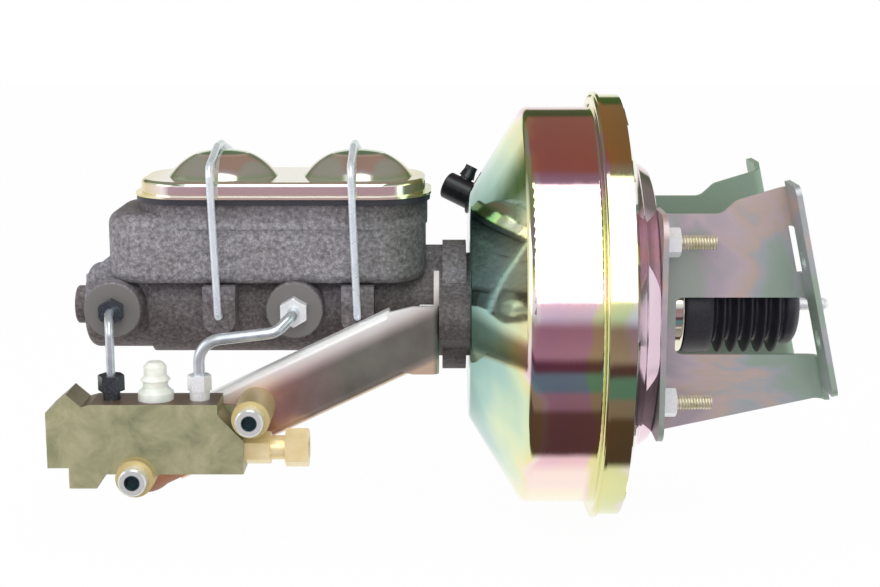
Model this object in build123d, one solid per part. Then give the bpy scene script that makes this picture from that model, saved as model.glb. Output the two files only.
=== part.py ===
from build123d import *
import math
import os

# A nine inch vacuum brake booster with its tandem master cylinder, combination valve, brake lines
# and firewall brackets. X runs along the booster's axis, plus X towards the pedal. The origin is
# where that axis meets the firewall plane. Z is up, and the valve hangs on the minus Y side.
# All sizes are millimetres.

# Fits and gaps
RUNNING_FIT = 0.05
SEAT_GAP = 0.3
SOFT_GAP = 0.2
BOLT_CLEARANCE = 0.25
CUT = 3.0
SINK = 2.0
EDGE_CHAMFER = 0.8

# Booster shells, as radii about the axis and stations along it
SHELL_WALL = 1.5
FRONT_FACE_X = -192.3
FRONT_FACE_RADIUS = 65.0
FRONT_CONE_DEPTH = 30.3
DRUM_RADIUS = 114.3
DRUM_LENGTH = 38.5
BAND_STEP = 7.2
BAND_LENGTH = 15.5
LIP_HEIGHT = 1.6
LIP_THICKNESS = 1.6
REAR_FACE_X = -89.8
REAR_FACE_RADIUS = 78.5
REAR_STEP_RADIUS = 84.0
REAR_STEP_DEPTH = 8.2
REAR_SHOULDER_STEP = 5.8
REAR_SHOULDER_DEPTH = 15.7
NECK_RADIUS = 28.0
NECK_LENGTH = 20.4
SPIGOT_RADIUS = 25.0
SPIGOT_LENGTH = 9.5
RIM_SETBACK = 1.0
TAB_COUNT = 15
TAB_ARC = 5.0
TAB_LENGTH = 5.0
TAB_FIRST_ANGLE = 10.0
FRONT_SHELL_BENDS = (6.0, 5.5, 1.8, 2.2)
REAR_SHELL_BENDS = (1.8, 3.0, 4.5, 3.0, 3.0, 3.0, 2.2, 0.6)

# Studs, nuts and washers
REAR_STUD_Y = 53.7
REAR_STUD_Z = 45.0
REAR_STUD_DIAMETER = 9.5
REAR_STUD_LENGTH = 31.8
REAR_NUT_FLATS = 14.3
REAR_NUT_HEIGHT = 7.2
REAR_WASHER_RADIUS = 9.5
WASHER_THICKNESS = 1.8
STUD_COLLAR_RADIUS = 6.8
STUD_COLLAR_THICKNESS = 2.0
FRONT_STUD_Y = 42.9
FRONT_STUD_DIAMETER = 9.5
FRONT_STUD_LENGTH = 34.0
FRONT_NUT_FLATS = 14.3
FRONT_NUT_HEIGHT = 8.0

# Valve body, diaphragm and what lies inside them
HUB_BACK_X = -104.5
HUB_LENGTH = 15.0
HUB_RADIUS = 33.0
TUBE_RADIUS = 17.8
TUBE_LENGTH = 55.0
TUBE_BORE_RADIUS = 14.5
GUIDE_LENGTH = 13.4
PLATE_THICKNESS = 1.2
PLATE_MARGIN = 11.3
PLATE_FLAT_RADIUS = 80.0
PLATE_DISH_DEPTH = 15.0
PLATE_LIP_LENGTH = 6.0
PLATE_BENDS = (4.0, 6.0)
DIAPHRAGM_THICKNESS = 1.6
DIAPHRAGM_BENDS = (2.5, 2.5, 6.0)
BEAD_THICKNESS = 4.4
BEAD_WIDTH = 4.6
LOCK_RING_WIDTH = 6.0
LOCK_RING_THICKNESS = 2.5
REACTION_DISC_RADIUS = 12.0
REACTION_DISC_THICKNESS = 5.0
ROD_HEAD_THICKNESS = 3.8
OUTPUT_ROD_RADIUS = 5.0
OUTPUT_ROD_NECK_RADIUS = 3.6
OUTPUT_ROD_NECK_LENGTH = 16.0
OUTPUT_ROD_TIP_RADIUS = 2.0
ROD_SOCKET_DEPTH = 10.0
RETURN_SPRING_WIRE = 3.6
RETURN_SPRING_RADIUS = 27.5
RETURN_SPRING_TURNS = 6
PLUNGER_RADIUS = 9.4
PLUNGER_LENGTH = 11.4
PLUNGER_NOSE_RADIUS = 4.9
PLUNGER_SETBACK = 0.4
PUSHROD_DIAMETER = 8.0
PUSHROD_REACH = 17.5
PUSHROD_END_RADIUS = 3.6
PUSHROD_END_LENGTH = 12.9
PUSHROD_BALL_RADIUS = 5.6
PUSHROD_LOST_MOTION = 1.5
PUSHROD_PLAY = 1.0
POPPET_THICKNESS = 2.0
POPPET_SPRING_WIRE = 1.2
POPPET_SPRING_RADIUS = 11.5
VALVE_SPRING_TURNS = 4
POPPET_SPRING_LENGTH = 7.6
POPPET_RETAINER_THICKNESS = 2.0
ROD_SPRING_WIRE = 1.2
ROD_SPRING_RADIUS = 7.0
ROD_SPRING_LENGTH = 7.6
ROD_COLLAR_RADIUS = 9.5
ROD_COLLAR_THICKNESS = 1.5
FILTER_LENGTH = 4.0
NECK_SEAL_LENGTH = 7.0
SEAL_RETAINER_THICKNESS = 1.2
SEAL_DEPTH = 4.5

# Boot
BOOT_WALL = 1.6
BOOT_COLLAR_LENGTH = 15.8
BOOT_RIDGE_RADIUS = 28.4
BOOT_VALLEY_RADIUS = 20.5
BOOT_RIDGES = 5
BOOT_PITCH = 7.75
BOOT_FIRST_RIDGE = 6.16
BOOT_RIDGE_HALF_WIDTH = 0.96
BOOT_TAIL_LENGTH = 10.4
BOOT_TAIL_RADIUS = 23.0
BOOT_END_RADIUS = 14.5
BOOT_END_LENGTH = 4.0
BOOT_TAIL_TAPER = 1.0

# Firewall brackets
BRACKET_SHEET = 3.0
BRACKET_OUTER_Y = 40.0
BASE_WIDTH = 36.0
BASE_TOP_Z = 62.0
BASE_BOTTOM_Z = -64.0
BASE_CORNER = 12.0
PLATE_TOP_Z = 58.5
PLATE_BOTTOM_Z = -65.9
PLATE_FLAT_END_X = -53.0
PLATE_RISE_X = -45.0
PLATE_RISE_Z = 66.0
PLATE_TIP_X = -13.4
PLATE_TIP_Z = 75.6
PLATE_FOOT_X = 2.0
PLATE_FOOT_Z = -46.0
FIREWALL_TILT = 12.5
FLANGE_WIDTH = 32.0
FLANGE_TOP = 80.0
FLANGE_BOTTOM = -38.5
FLANGE_BEND = 7.0
FLANGE_CORNER = 5.0
BASE_BEND = 5.0
PLATE_FILLET = 8.0
WINDOW_TOP_Z = 11.7
WINDOW_BOTTOM_Z = -21.0
WINDOW_START_X = -77.0
SLOT_TOP = 54.5
SLOT_BOTTOM = 27.5
SLOT_DEPTH = 4.6
SLOT_REACH = 11.0
WINDOW_CORNER = 4.0
FIREWALL_HOLE_DIAMETER = 11.0
FIREWALL_HOLE_Y = 57.5
FIREWALL_HOLE_UPPER = 37.0
FIREWALL_HOLE_LOWER = -8.0

# Vacuum check valve in the front shell's cone
CHECK_Y = 53.5
CHECK_Z = 54.0
CHECK_BARREL_RADIUS = 8.3
CHECK_BARREL_LENGTH = 19.0
CHECK_GROMMET_RADIUS = 10.5
CHECK_GROMMET_LENGTH = 3.0
CHECK_GROMMET_GROOVE = 2.0
CHECK_GROMMET_INNER_GAP = 0.7
CHECK_STEM_RADIUS = 5.5
CHECK_STEM_LENGTH = 9.0
CHECK_CHAMBER_RADIUS = 6.0
CHECK_CHAMBER_START = 2.0
CHECK_NIPPLE_RADIUS = 3.8
CHECK_NIPPLE_LEAN = 0.3
CHECK_BULB_RADIUS = 4.9
CHECK_BULB_LENGTH = 7.3
CHECK_MOUTH_RADIUS = 3.2
CHECK_BARREL_ROUND = 1.2
CHECK_NIPPLE_LENGTH = 16.5
CHECK_PASSAGE_RADIUS = 2.2
CHECK_DISC_RADIUS = 4.6
CHECK_DISC_THICKNESS = 1.6
CHECK_SPRING_RADIUS = 3.6
CHECK_SPRING_WIRE = 0.8
CHECK_SPRING_TURNS = 5

# Master cylinder casting
BORE_DIAMETER = 25.4
BORE_LENGTH = 218.0
BODY_RADIUS = 27.0
NOSE_RADIUS = 24.5
NOSE_LENGTH = 38.0
NOSE_WALL = 8.0
NOSE_ROUND = 6.0
END_BOSS_RADIUS = 11.0
END_BOSS_LENGTH = 7.6
END_BOSS_ROUND = 1.5
MASTER_FLANGE_THICKNESS = 16.9
MASTER_FLANGE_RADIUS = 30.0
MASTER_FLANGE_EAR = 13.0
MASTER_DISC_RADIUS = 37.5
MASTER_DISC_THICKNESS = 13.5
MASTER_DISC_RELIEF = 1.5
PILOT_RADIUS = 20.0
PILOT_LENGTH = 6.5
PILOT_FIT = 0.4
RESERVOIR_SETBACK = 15.8
RESERVOIR_REAR_X = -217.0
RESERVOIR_WIDTH = 78.0
RESERVOIR_BOTTOM_Z = 18.5
SHOULDER_Z = 58.5
RESERVOIR_CORNER = 22.0
RESERVOIR_WALL = 6.0
RESERVOIR_FLOOR_Z = 32.0
SHOULDER_ROUND = 8.0
RESERVOIR_BOTTOM_ROUND = 6.0
POCKET_CORNER = 15.0
TOE_SETBACK = 0.8
TOE_TOP_Z = 31.0
TOE_SHOULDER_Z = 20.0
TOE_WIDTH = 44.0
TOE_ROUND = 8.0
REAR_WEB_WIDTH = 26.0
REAR_WEB_TOP_Z = 33.0
REAR_WEB_BOTTOM_Z = -3.0
RIM_BASE_Z = 50.0
RIM_Z = 63.5
RESERVOIR_RIM_STEP = 17.0
RIM_REAR_X = -216.0
RIM_WIDTH = 81.0
DIVIDER_X = -299.0
DIVIDER_WALL = 6.0
PORT_Z = 4.6
FRONT_PORT_SETBACK = 20.4
REAR_PORT_X = -289.9
PORT_BOSS_RADIUS = 16.0
PORT_BOSS_ROUND = 1.2
PORT_FACE_Y = -42.0
PORT_THREAD_DEPTH = 9.0
PORT_PASSAGE_RADIUS = 2.0
LUG_WIDTH = 18.0
LUG_FACE_Y = 42.5
LUG_TOP_Z = 18.0
LUG_BOTTOM_Z = -8.0
LUG_ROUND = 7.0
INTAKE_RADIUS = 3.0
INTAKE_SETBACK = 12.0
COMPENSATING_RADIUS = 0.8
COMPENSATING_LEAD = 2.0

# Pistons of the master cylinder
PISTON_LAND = 9.0
PISTON_WAIST_RADIUS = 8.0
PRIMARY_PISTON_BACK_X = -190.0
PRIMARY_PISTON_LENGTH = 64.0
SECONDARY_PISTON_BACK_X = -300.0
SECONDARY_PISTON_LENGTH = 40.0
CUP_LENGTH = 5.0
CUP_BED_RADIUS = 9.0
PISTON_NOSE_RADIUS = 6.0
PISTON_NOSE_LENGTH = 5.0
MASTER_SPRING_WIRE = 1.8
MASTER_SPRING_RADIUS = 9.6
PRIMARY_SPRING_TURNS = 5
SECONDARY_SPRING_TURNS = 8
SNAP_RING_THICKNESS = 1.4
SNAP_RING_WIDTH = 3.0

# Reservoir cover, its gasket and the two bails
COVER_SHEET = 1.2
COVER_LIP = 3.4
COVER_OVERHANG = 2.2
COVER_HEIGHT = 9.0
COVER_CORNER = 32.0
COVER_ROUND = 2.4
DOME_OFFSET = 1.0
DOME_HEIGHT = 14.6
DOME_RADIUS = 31.5
DOME_CAP_RADIUS = 15.5
DOME_CAP_DROP = 1.9
GASKET_THICKNESS = 3.3
BELLOWS_DEPTH = 14.0
BELLOWS_MARGIN = 7.0
BELLOWS_WALL = 2.0
BELLOWS_CORNER = 10.0
GASKET_INSET = 0.6
BAIL_FRONT_X = -331.8
BAIL_REAR_X = -254.6
BAIL_PIVOT_Z = 1.6
BAIL_WIRE = 4.2
BAIL_HALF_WIDTH = 47.0
BAIL_SHOULDER_DROP = 7.4
BAIL_SHOULDER_RISE = 2.5
BAIL_SHOULDER_Y = 32.0
BAIL_TOP_HALF = 10.0
BAIL_TOP_BEND = 12.0
BAIL_HOOK_BEND = 2.7
BAIL_CORNER = 7.0
BAIL_HOOK_DEPTH = 7.0
BAIL_LEAN = 2.0

# Combination valve
VALVE_Y = -67.0
VALVE_DEPTH = 26.0
VALVE_TOP_Z = -39.5
VALVE_BOTTOM_Z = -78.5
VALVE_FRONT_X = -422.0
VALVE_REAR_X = -315.5
VALVE_BORE_Z = -67.0
VALVE_BORE_RADIUS = 5.0
VALVE_BORE_LENGTH = 88.5
VALVE_INLET_OFFSET = 3.2
VALVE_INLET_REAR_X = -340.0
VALVE_PASSAGE_RADIUS = 1.8
VALVE_SHOULDER_X = -329.0
VALVE_SHOULDER_Z = -45.5
VALVE_SLOPE_Z = -59.5
PEAK_X = -410.5
PEAK_Z = -33.8
PEAK_FRONT_Z = -44.0
PEAK_BACK_X = -402.5
PEAK_BACK_Z = -40.8
VALVE_TOP_START_X = -398.0
SLANTED_PASSAGE_LENGTH = 37.0
FOOT_REAR_X = -390.0
FOOT_CORNER_X = -395.5
FOOT_Z = -86.5
FOOT_STEP_Z = -75.0
SWITCH_X = -364.0
VALVE_BOLT_UPPER_X = -310.5
VALVE_BOLT_UPPER_Z = -46.5
VALVE_BOLT_LOWER_X = -374.0
VALVE_BOLT_LOWER_Z = -79.5
VALVE_LUG_RADIUS = 10.4
VALVE_LUG_STAND = 5.0
VALVE_LUG_WEB = 3.0
VALVE_LUG_WEB_LOW_Z = -66.0
VALVE_BOLT_DIAMETER = 8.0
VALVE_BOLT_HEAD_RADIUS = 7.6
VALVE_BOLT_HEAD_HEIGHT = 8.0
VALVE_BOLT_SOCKET_FLATS = 7.0
VALVE_BOLT_SOCKET_DEPTH = 4.5
VALVE_BOLT_NUT_FLATS = 13.0
VALVE_BOLT_NUT_HEIGHT = 6.5
VALVE_BOLT_TAIL = 2.5
OUTLET_RADIUS = 4.4
OUTLET_DEPTH = 9.0
FITTING_HEX_FLATS = 16.0
FITTING_HEX_LENGTH = 14.0
FITTING_NECK_RADIUS = 6.6
FITTING_NECK_LENGTH = 8.2
FITTING_NUT_FLATS = 19.0
FITTING_NUT_LENGTH = 12.6
FITTING_OUTLET_RADIUS = 5.6
FITTING_OUTLET_DEPTH = 10.0
FITTING_SPIGOT_LENGTH = 6.0
SHUTTLE_LENGTH = 20.0
PROPORTIONING_LENGTH = 10.0
METERING_LENGTH = 9.0
METERING_TRAVEL = 1.0
METERING_WAIST_RADIUS = 2.4
SHUTTLE_WAIST_RADIUS = 3.4
PROPORTIONING_WAIST_RADIUS = 2.6
PROPORTIONING_SPRING_LENGTH = 8.0
PROPORTIONING_SPRING_RADIUS = 3.6
PROPORTIONING_SPRING_WIRE = 0.9
SPOOL_LAND_SHARE = 0.25
SWITCH_THREAD_RADIUS = 4.6
SWITCH_THREAD_LENGTH = 7.0
SWITCH_FLANGE_RADIUS = 9.8
SWITCH_FLANGE_HEIGHT = 4.2
SWITCH_WAIST_RADIUS = 6.8
SWITCH_WAIST_Z = 7.0
SWITCH_FLARE_RADIUS = 8.1
SWITCH_FLARE_START_Z = 9.7
SWITCH_FLARE_Z = 11.2
SWITCH_FLARE_END_Z = 13.4
SWITCH_SHOULDER_Z = 18.5
SWITCH_TIP_Z = 20.8
SWITCH_TIP_RADIUS = 4.2
SWITCH_HEIGHT = 21.5
SWITCH_DOME_RADIUS = 6.2

# Valve bracket
CHANNEL_SHEET = 3.0
CHANNEL_HALF_WIDTH = 18.5
CHANNEL_LIP = 8.0
CHANNEL_BEND = 4.0
CHANNEL_START = 14.0
CHANNEL_END_STEP = 1.0
CHANNEL_RISE_X = -229.0
CHANNEL_RISE_Z = -10.0
CHANNEL_NOTCH_X = -238.0
CHANNEL_HEAD_TOP_Z = 9.0
CHANNEL_HEAD_BOTTOM_Z = -29.0
CHANNEL_HEAD_START_X = -224.0
EAR_INNER_Y = -24.0
EAR_TIP_Z = 24.0
EAR_SHOULDER_Z = 14.0
EAR_STEP_Y = -28.5

# Brake lines and tube nuts
FRONT_LINE_DIAMETER = 4.76
REAR_LINE_DIAMETER = 6.35
LINE_WALL = 0.9
FRONT_PORT_NUT_FLATS = 12.7
REAR_PORT_NUT_FLATS = 14.3
FRONT_VALVE_NUT_FLATS = 12.7
REAR_VALVE_NUT_FLATS = 11.5
FRONT_NUT_THREAD_RADIUS = 4.7
REAR_NUT_THREAD_RADIUS = 5.5
TUBE_NUT_HEX = 7.0
VALVE_NUT_HEX = 8.6
VALVE_NUT_STAND = 5.0
VALVE_THREAD_DEPTH = 9.0
TUBE_SEAT_LENGTH = 4.0
FRONT_LINE_BENDS = (20.0, 9.0)
FRONT_LINE_TURN_Y = -52.5
FRONT_LINE_DROP = 2.0
REAR_LINE_BENDS = (8.0, 9.0, 13.0)
REAR_LINE_TURN = 8.0
REAR_LINE_TURN_Y = -59.0
REAR_LINE_DIP = 7.0
REAR_LINE_CORNER_Z = -7.5

# Stations worked out from the sizes above
FRONT_CORNER_X = FRONT_FACE_X + FRONT_CONE_DEPTH
BAND_RADIUS = DRUM_RADIUS + BAND_STEP
REAR_SHOULDER_RADIUS = DRUM_RADIUS - REAR_SHOULDER_STEP
BAND_FRONT_X = FRONT_CORNER_X + DRUM_LENGTH
BAND_REAR_X = BAND_FRONT_X + BAND_LENGTH
SHOULDER_FACE_X = BAND_FRONT_X + SHELL_WALL
REAR_SEAT_X = SHOULDER_FACE_X + BEAD_THICKNESS + 2 * SOFT_GAP
REAR_RIM_RADIUS = BAND_RADIUS - SHELL_WALL - SEAT_GAP
REAR_RIM_END_X = BAND_REAR_X - RIM_SETBACK
REAR_STUD_HOLE = REAR_STUD_DIAMETER / 2 + BOLT_CLEARANCE
FRONT_STUD_HOLE = FRONT_STUD_DIAMETER / 2 + BOLT_CLEARANCE
REAR_SHOULDER_X = REAR_FACE_X - REAR_SHOULDER_DEPTH
REAR_STEP_X = REAR_FACE_X - REAR_STEP_DEPTH
NECK_END_X = REAR_FACE_X + NECK_LENGTH
SPIGOT_END_X = NECK_END_X + SPIGOT_LENGTH
NECK_BORE = NECK_RADIUS - SHELL_WALL
HUB_FRONT_X = HUB_BACK_X - HUB_LENGTH
TUBE_END_X = HUB_BACK_X + TUBE_LENGTH
GUIDE_RADIUS = PLUNGER_RADIUS + 2 * RUNNING_FIT
PLATE_BACK_X = HUB_BACK_X + PLATE_THICKNESS
PLATE_OUTER_RADIUS = DRUM_RADIUS - PLATE_MARGIN
DIAPHRAGM_FRONT_X = PLATE_BACK_X + SOFT_GAP
DIAPHRAGM_BACK_X = DIAPHRAGM_FRONT_X + DIAPHRAGM_THICKNESS
LOCK_RING_X = DIAPHRAGM_BACK_X + SOFT_GAP
REACTION_FACE_X = HUB_FRONT_X + ROD_HEAD_THICKNESS + SOFT_GAP + REACTION_DISC_THICKNESS
GUIDE_START_X = HUB_BACK_X
POPPET_SEAT_X = GUIDE_START_X + GUIDE_LENGTH
PLUNGER_BACK_X = POPPET_SEAT_X - PLUNGER_SETBACK
PLUNGER_FRONT_X = PLUNGER_BACK_X - PLUNGER_LENGTH
PLUNGER_NOSE_X = REACTION_FACE_X + PUSHROD_LOST_MOTION + SEAT_GAP
POPPET_FRONT_X = POPPET_SEAT_X + SOFT_GAP
POPPET_BACK_X = POPPET_FRONT_X + POPPET_THICKNESS
RETAINER_FRONT_X = POPPET_BACK_X + POPPET_SPRING_LENGTH + 2 * SEAT_GAP
RETAINER_BACK_X = RETAINER_FRONT_X + POPPET_RETAINER_THICKNESS
ROD_COLLAR_X = RETAINER_BACK_X + ROD_SPRING_LENGTH + 2 * SEAT_GAP
PUSHROD_RADIUS = PUSHROD_DIAMETER / 2
PUSHROD_HOLE = PUSHROD_RADIUS + PUSHROD_PLAY
BOOT_START_X = NECK_END_X + SOFT_GAP
MASTER_FACE_X = FRONT_FACE_X - MASTER_FLANGE_THICKNESS
PILOT_END_X = FRONT_FACE_X + PILOT_LENGTH
PILOT_HOLE_RADIUS = PILOT_RADIUS + PILOT_FIT
BORE_RADIUS = BORE_DIAMETER / 2
BORE_END_X = PILOT_END_X - BORE_LENGTH
NOSE_END_X = BORE_END_X - NOSE_WALL
RESERVOIR_FRONT_X = NOSE_END_X + RESERVOIR_SETBACK
TOE_FRONT_X = NOSE_END_X + TOE_SETBACK
RIM_FRONT_X = RESERVOIR_FRONT_X + RESERVOIR_RIM_STEP
FRONT_PORT_X = NOSE_END_X + FRONT_PORT_SETBACK
VALVE_INLET_FRONT_X = FRONT_PORT_X + VALVE_INLET_OFFSET
SEALING_RADIUS = BORE_RADIUS - RUNNING_FIT
PRIMARY_FRONT_X = PRIMARY_PISTON_BACK_X - PRIMARY_PISTON_LENGTH
SECONDARY_FRONT_X = SECONDARY_PISTON_BACK_X - SECONDARY_PISTON_LENGTH
COVER_BOTTOM_Z = RIM_Z + GASKET_THICKNESS
COVER_TOP_Z = COVER_BOTTOM_Z + COVER_HEIGHT
COVER_CENTRE_X = (RIM_FRONT_X + RIM_REAR_X) / 2
COVER_LENGTH = RIM_REAR_X - RIM_FRONT_X + 2 * COVER_OVERHANG
COVER_WIDTH = RIM_WIDTH + 2 * COVER_OVERHANG
BAIL_RADIUS = BAIL_WIRE / 2
BAIL_TOP_Z = COVER_TOP_Z + DOME_HEIGHT + BAIL_RADIUS + SEAT_GAP
VALVE_BACK_Y = VALVE_Y + VALVE_DEPTH / 2
VALVE_FACE_Y = VALVE_Y - VALVE_DEPTH / 2
VALVE_BORE_END_X = VALVE_REAR_X - VALVE_BORE_LENGTH
CHANNEL_BACK_Y = VALVE_BACK_Y + CHANNEL_SHEET
EAR_FACE_X = MASTER_FACE_X
FITTING_HEX_END_X = VALVE_REAR_X + FITTING_HEX_LENGTH
FITTING_NECK_END_X = FITTING_HEX_END_X + FITTING_NECK_LENGTH
FITTING_END_X = FITTING_NECK_END_X + FITTING_NUT_LENGTH
FIREWALL_NORMAL = Vector(math.cos(math.radians(FIREWALL_TILT)), 0, math.sin(math.radians(FIREWALL_TILT)))
UPWARDS = (Align.CENTER, Align.CENTER, Align.MIN)
DOWNWARDS = (Align.CENTER, Align.CENTER, Align.MAX)
VALVE_BOLT_HOLE = VALVE_BOLT_DIAMETER / 2 + BOLT_CLEARANCE
VALVE_BOLTS = ((VALVE_BOLT_UPPER_X, VALVE_BOLT_UPPER_Z), (VALVE_BOLT_LOWER_X, VALVE_BOLT_LOWER_Z))
METERING_START_X = VALVE_BORE_END_X + METERING_TRAVEL + SEAT_GAP
PROPORTIONING_END_X = VALVE_REAR_X - FITTING_SPIGOT_LENGTH - PROPORTIONING_SPRING_LENGTH
PROPORTIONING_START_X = PROPORTIONING_END_X - PROPORTIONING_LENGTH
FIREWALL = Plane(origin=(0, 0, 0), x_dir=(0, 1, 0), z_dir=FIREWALL_NORMAL)
SIDES = (-1, 1)


def rod(start, end, radius):
    """A round bar between two points."""
    origin = Vector(*start)
    direction = Vector(*end) - origin
    return extrude(Plane(origin=origin, z_dir=direction) * Circle(radius), direction.length)


def ring(x_start, x_end, outer, inner):
    """A ring about the booster's axis."""
    section = Pos((x_start + x_end) / 2, (outer + inner) / 2) * Rectangle(x_end - x_start, outer - inner)
    return revolve(section, Axis.X)


def turned(*points):
    """A turned piece about the booster's axis, from stations and radii of its half section."""
    return revolve(make_face(Polyline(*points, close=True)), Axis.X)


def shell_of(points, radii, wall):
    """A pressed shell: the filleted outside path and a wall laid inside it, turned about the axis."""
    path = FilletPolyline(*points, radius=radii)
    return revolve(make_face(offset(path, wall, side=Side.RIGHT)), Axis.X)


def hex_nut(start, end, flats, hole=0.0):
    """A hexagon nut from its seat to its chamfered outer face, with two flats facing sideways."""
    origin = Vector(*start)
    direction = Vector(*end) - origin
    across = (0, 1, 0) if abs(direction.Y) < abs(direction.length) / 2 else (1, 0, 0)
    plane = Plane(origin=origin, x_dir=across, z_dir=direction)
    outline = Rot(0, 0, 30) * RegularPolygon(flats / 2, 6, major_radius=False)
    blank = extrude(plane * outline, direction.length)
    corner = flats / math.sqrt(3)
    chamfer = (corner - flats / 2) / 2
    turning = extrude(plane * Circle(corner), direction.length)
    turning = chamfer_outer_edge(turning, end, chamfer)
    nut = blank & turning
    if hole > 0:
        nut = nut - rod(start, end, hole)
    return nut


def chamfer_outer_edge(bar, end, size):
    """Chamfer the round edge of a bar that lies nearest to one point."""
    edge = bar.edges().filter_by(GeomType.CIRCLE).sort_by_distance(end)[0]
    return chamfer(edge, size)


def spring(x_start, x_end, mean_radius, wire, turns):
    """A coil spring along the booster's axis."""
    length = abs(x_end - x_start) - wire
    path = Helix(length / turns, length, mean_radius)
    coil = sweep(Plane(origin=path @ 0, z_dir=path % 0) * Circle(wire / 2), path=path)
    return Pos(min(x_start, x_end) + wire / 2, 0, 0) * Rot(0, 90, 0) * coil


def rounded_slab(x_start, x_end, width, corner, z_low, z_high):
    """A slab with rounded corners in plan, level with the reservoir's rim."""
    outline = RectangleRounded(x_end - x_start, width, corner)
    plane = Plane(origin=((x_start + x_end) / 2, 0, z_low))
    return extrude(plane * outline, z_high - z_low)


def save(node, *pieces):
    """Write one sub-part's file."""
    solids = [solid for piece in pieces for solid in piece.solids()]
    export_step(Compound(children=solids), "parts/" + node + ".step")


def rear_stud_places():
    return [(y * REAR_STUD_Y, z * REAR_STUD_Z) for y in SIDES for z in SIDES]


def check_frame():
    """The plane on the front cone where the check valve's grommet sits, its normal outwards."""
    radius = math.hypot(CHECK_Y, CHECK_Z)
    rise = DRUM_RADIUS - FRONT_FACE_RADIUS
    station = FRONT_FACE_X + (radius - FRONT_FACE_RADIUS) * FRONT_CONE_DEPTH / rise
    slant = math.hypot(rise, FRONT_CONE_DEPTH)
    outward = FRONT_CONE_DEPTH / slant
    normal = Vector(-rise / slant, outward * CHECK_Y / radius, outward * CHECK_Z / radius)
    lean = Vector(0, CHECK_NIPPLE_LEAN, 1)
    upward = lean - normal * lean.dot(normal)
    return Plane(origin=(station, CHECK_Y, CHECK_Z), x_dir=upward, z_dir=normal)


def front_shell():
    """Front shell: flat face, cone, drum and the band whose tabs are bent over the rear shell."""
    points = ((FRONT_FACE_X, PILOT_HOLE_RADIUS), (FRONT_FACE_X, FRONT_FACE_RADIUS),
              (FRONT_CORNER_X, DRUM_RADIUS), (BAND_FRONT_X, DRUM_RADIUS),
              (BAND_FRONT_X, BAND_RADIUS), (BAND_REAR_X, BAND_RADIUS))
    shell = shell_of(points, list(FRONT_SHELL_BENDS), SHELL_WALL)
    shell += ring(BAND_FRONT_X + SHELL_WALL, BAND_FRONT_X + SHELL_WALL + LIP_THICKNESS,
                  BAND_RADIUS + LIP_HEIGHT, BAND_RADIUS - SHELL_WALL / 2)
    tab = lock_tab()
    for index in range(TAB_COUNT):
        shell += Rot(TAB_FIRST_ANGLE + index * 360 / TAB_COUNT, 0, 0) * tab
    for side in SIDES:
        y = side * FRONT_STUD_Y
        shell -= rod((FRONT_FACE_X - CUT, y, 0), (FRONT_FACE_X + CUT, y, 0), FRONT_STUD_HOLE)
    return shell - check_frame() * Cylinder(CHECK_GROMMET_RADIUS - CHECK_GROMMET_GROOVE, 4 * CUT)


def lock_tab():
    """One lock tab: the band's edge pressed down against the rear shell's sloped shoulder."""
    run = REAR_SHOULDER_X - REAR_RIM_END_X
    drop = REAR_RIM_RADIUS - REAR_SHOULDER_RADIUS
    slope = math.hypot(run, drop)
    along = Vector(run / slope, -drop / slope)
    away = Vector(drop / slope, run / slope)
    foot = Vector(REAR_RIM_END_X, REAR_RIM_RADIUS) + away * SEAT_GAP
    corners = (foot, foot + along * TAB_LENGTH, foot + along * TAB_LENGTH + away * SHELL_WALL,
               foot + away * SHELL_WALL - along * SHELL_WALL / 2)
    return revolve(make_face(Polyline(*corners, close=True)), Axis.X, TAB_ARC)


def rear_shell():
    """Rear shell: rim, shoulder, raised stud face and the neck that carries seal and boot."""
    points = ((REAR_SEAT_X, DRUM_RADIUS), (REAR_SEAT_X, REAR_RIM_RADIUS),
              (REAR_RIM_END_X, REAR_RIM_RADIUS), (REAR_SHOULDER_X, REAR_SHOULDER_RADIUS),
              (REAR_STEP_X, REAR_STEP_RADIUS), (REAR_FACE_X, REAR_FACE_RADIUS),
              (REAR_FACE_X, NECK_RADIUS),
              (NECK_END_X, NECK_RADIUS), (NECK_END_X, SPIGOT_RADIUS), (SPIGOT_END_X, SPIGOT_RADIUS))
    shell = shell_of(points, list(REAR_SHELL_BENDS), SHELL_WALL)
    for y, z in rear_stud_places():
        shell -= rod((REAR_FACE_X - CUT, y, z), (REAR_FACE_X + CUT, y, z), REAR_STUD_HOLE)
    return shell


def diaphragm_plate():
    points = ((PLATE_BACK_X - PLATE_DISH_DEPTH - PLATE_LIP_LENGTH, PLATE_OUTER_RADIUS),
              (PLATE_BACK_X - PLATE_DISH_DEPTH, PLATE_OUTER_RADIUS),
              (PLATE_BACK_X, PLATE_FLAT_RADIUS), (PLATE_BACK_X, TUBE_RADIUS + SEAT_GAP))
    return shell_of(points, list(PLATE_BENDS), PLATE_THICKNESS)


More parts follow.
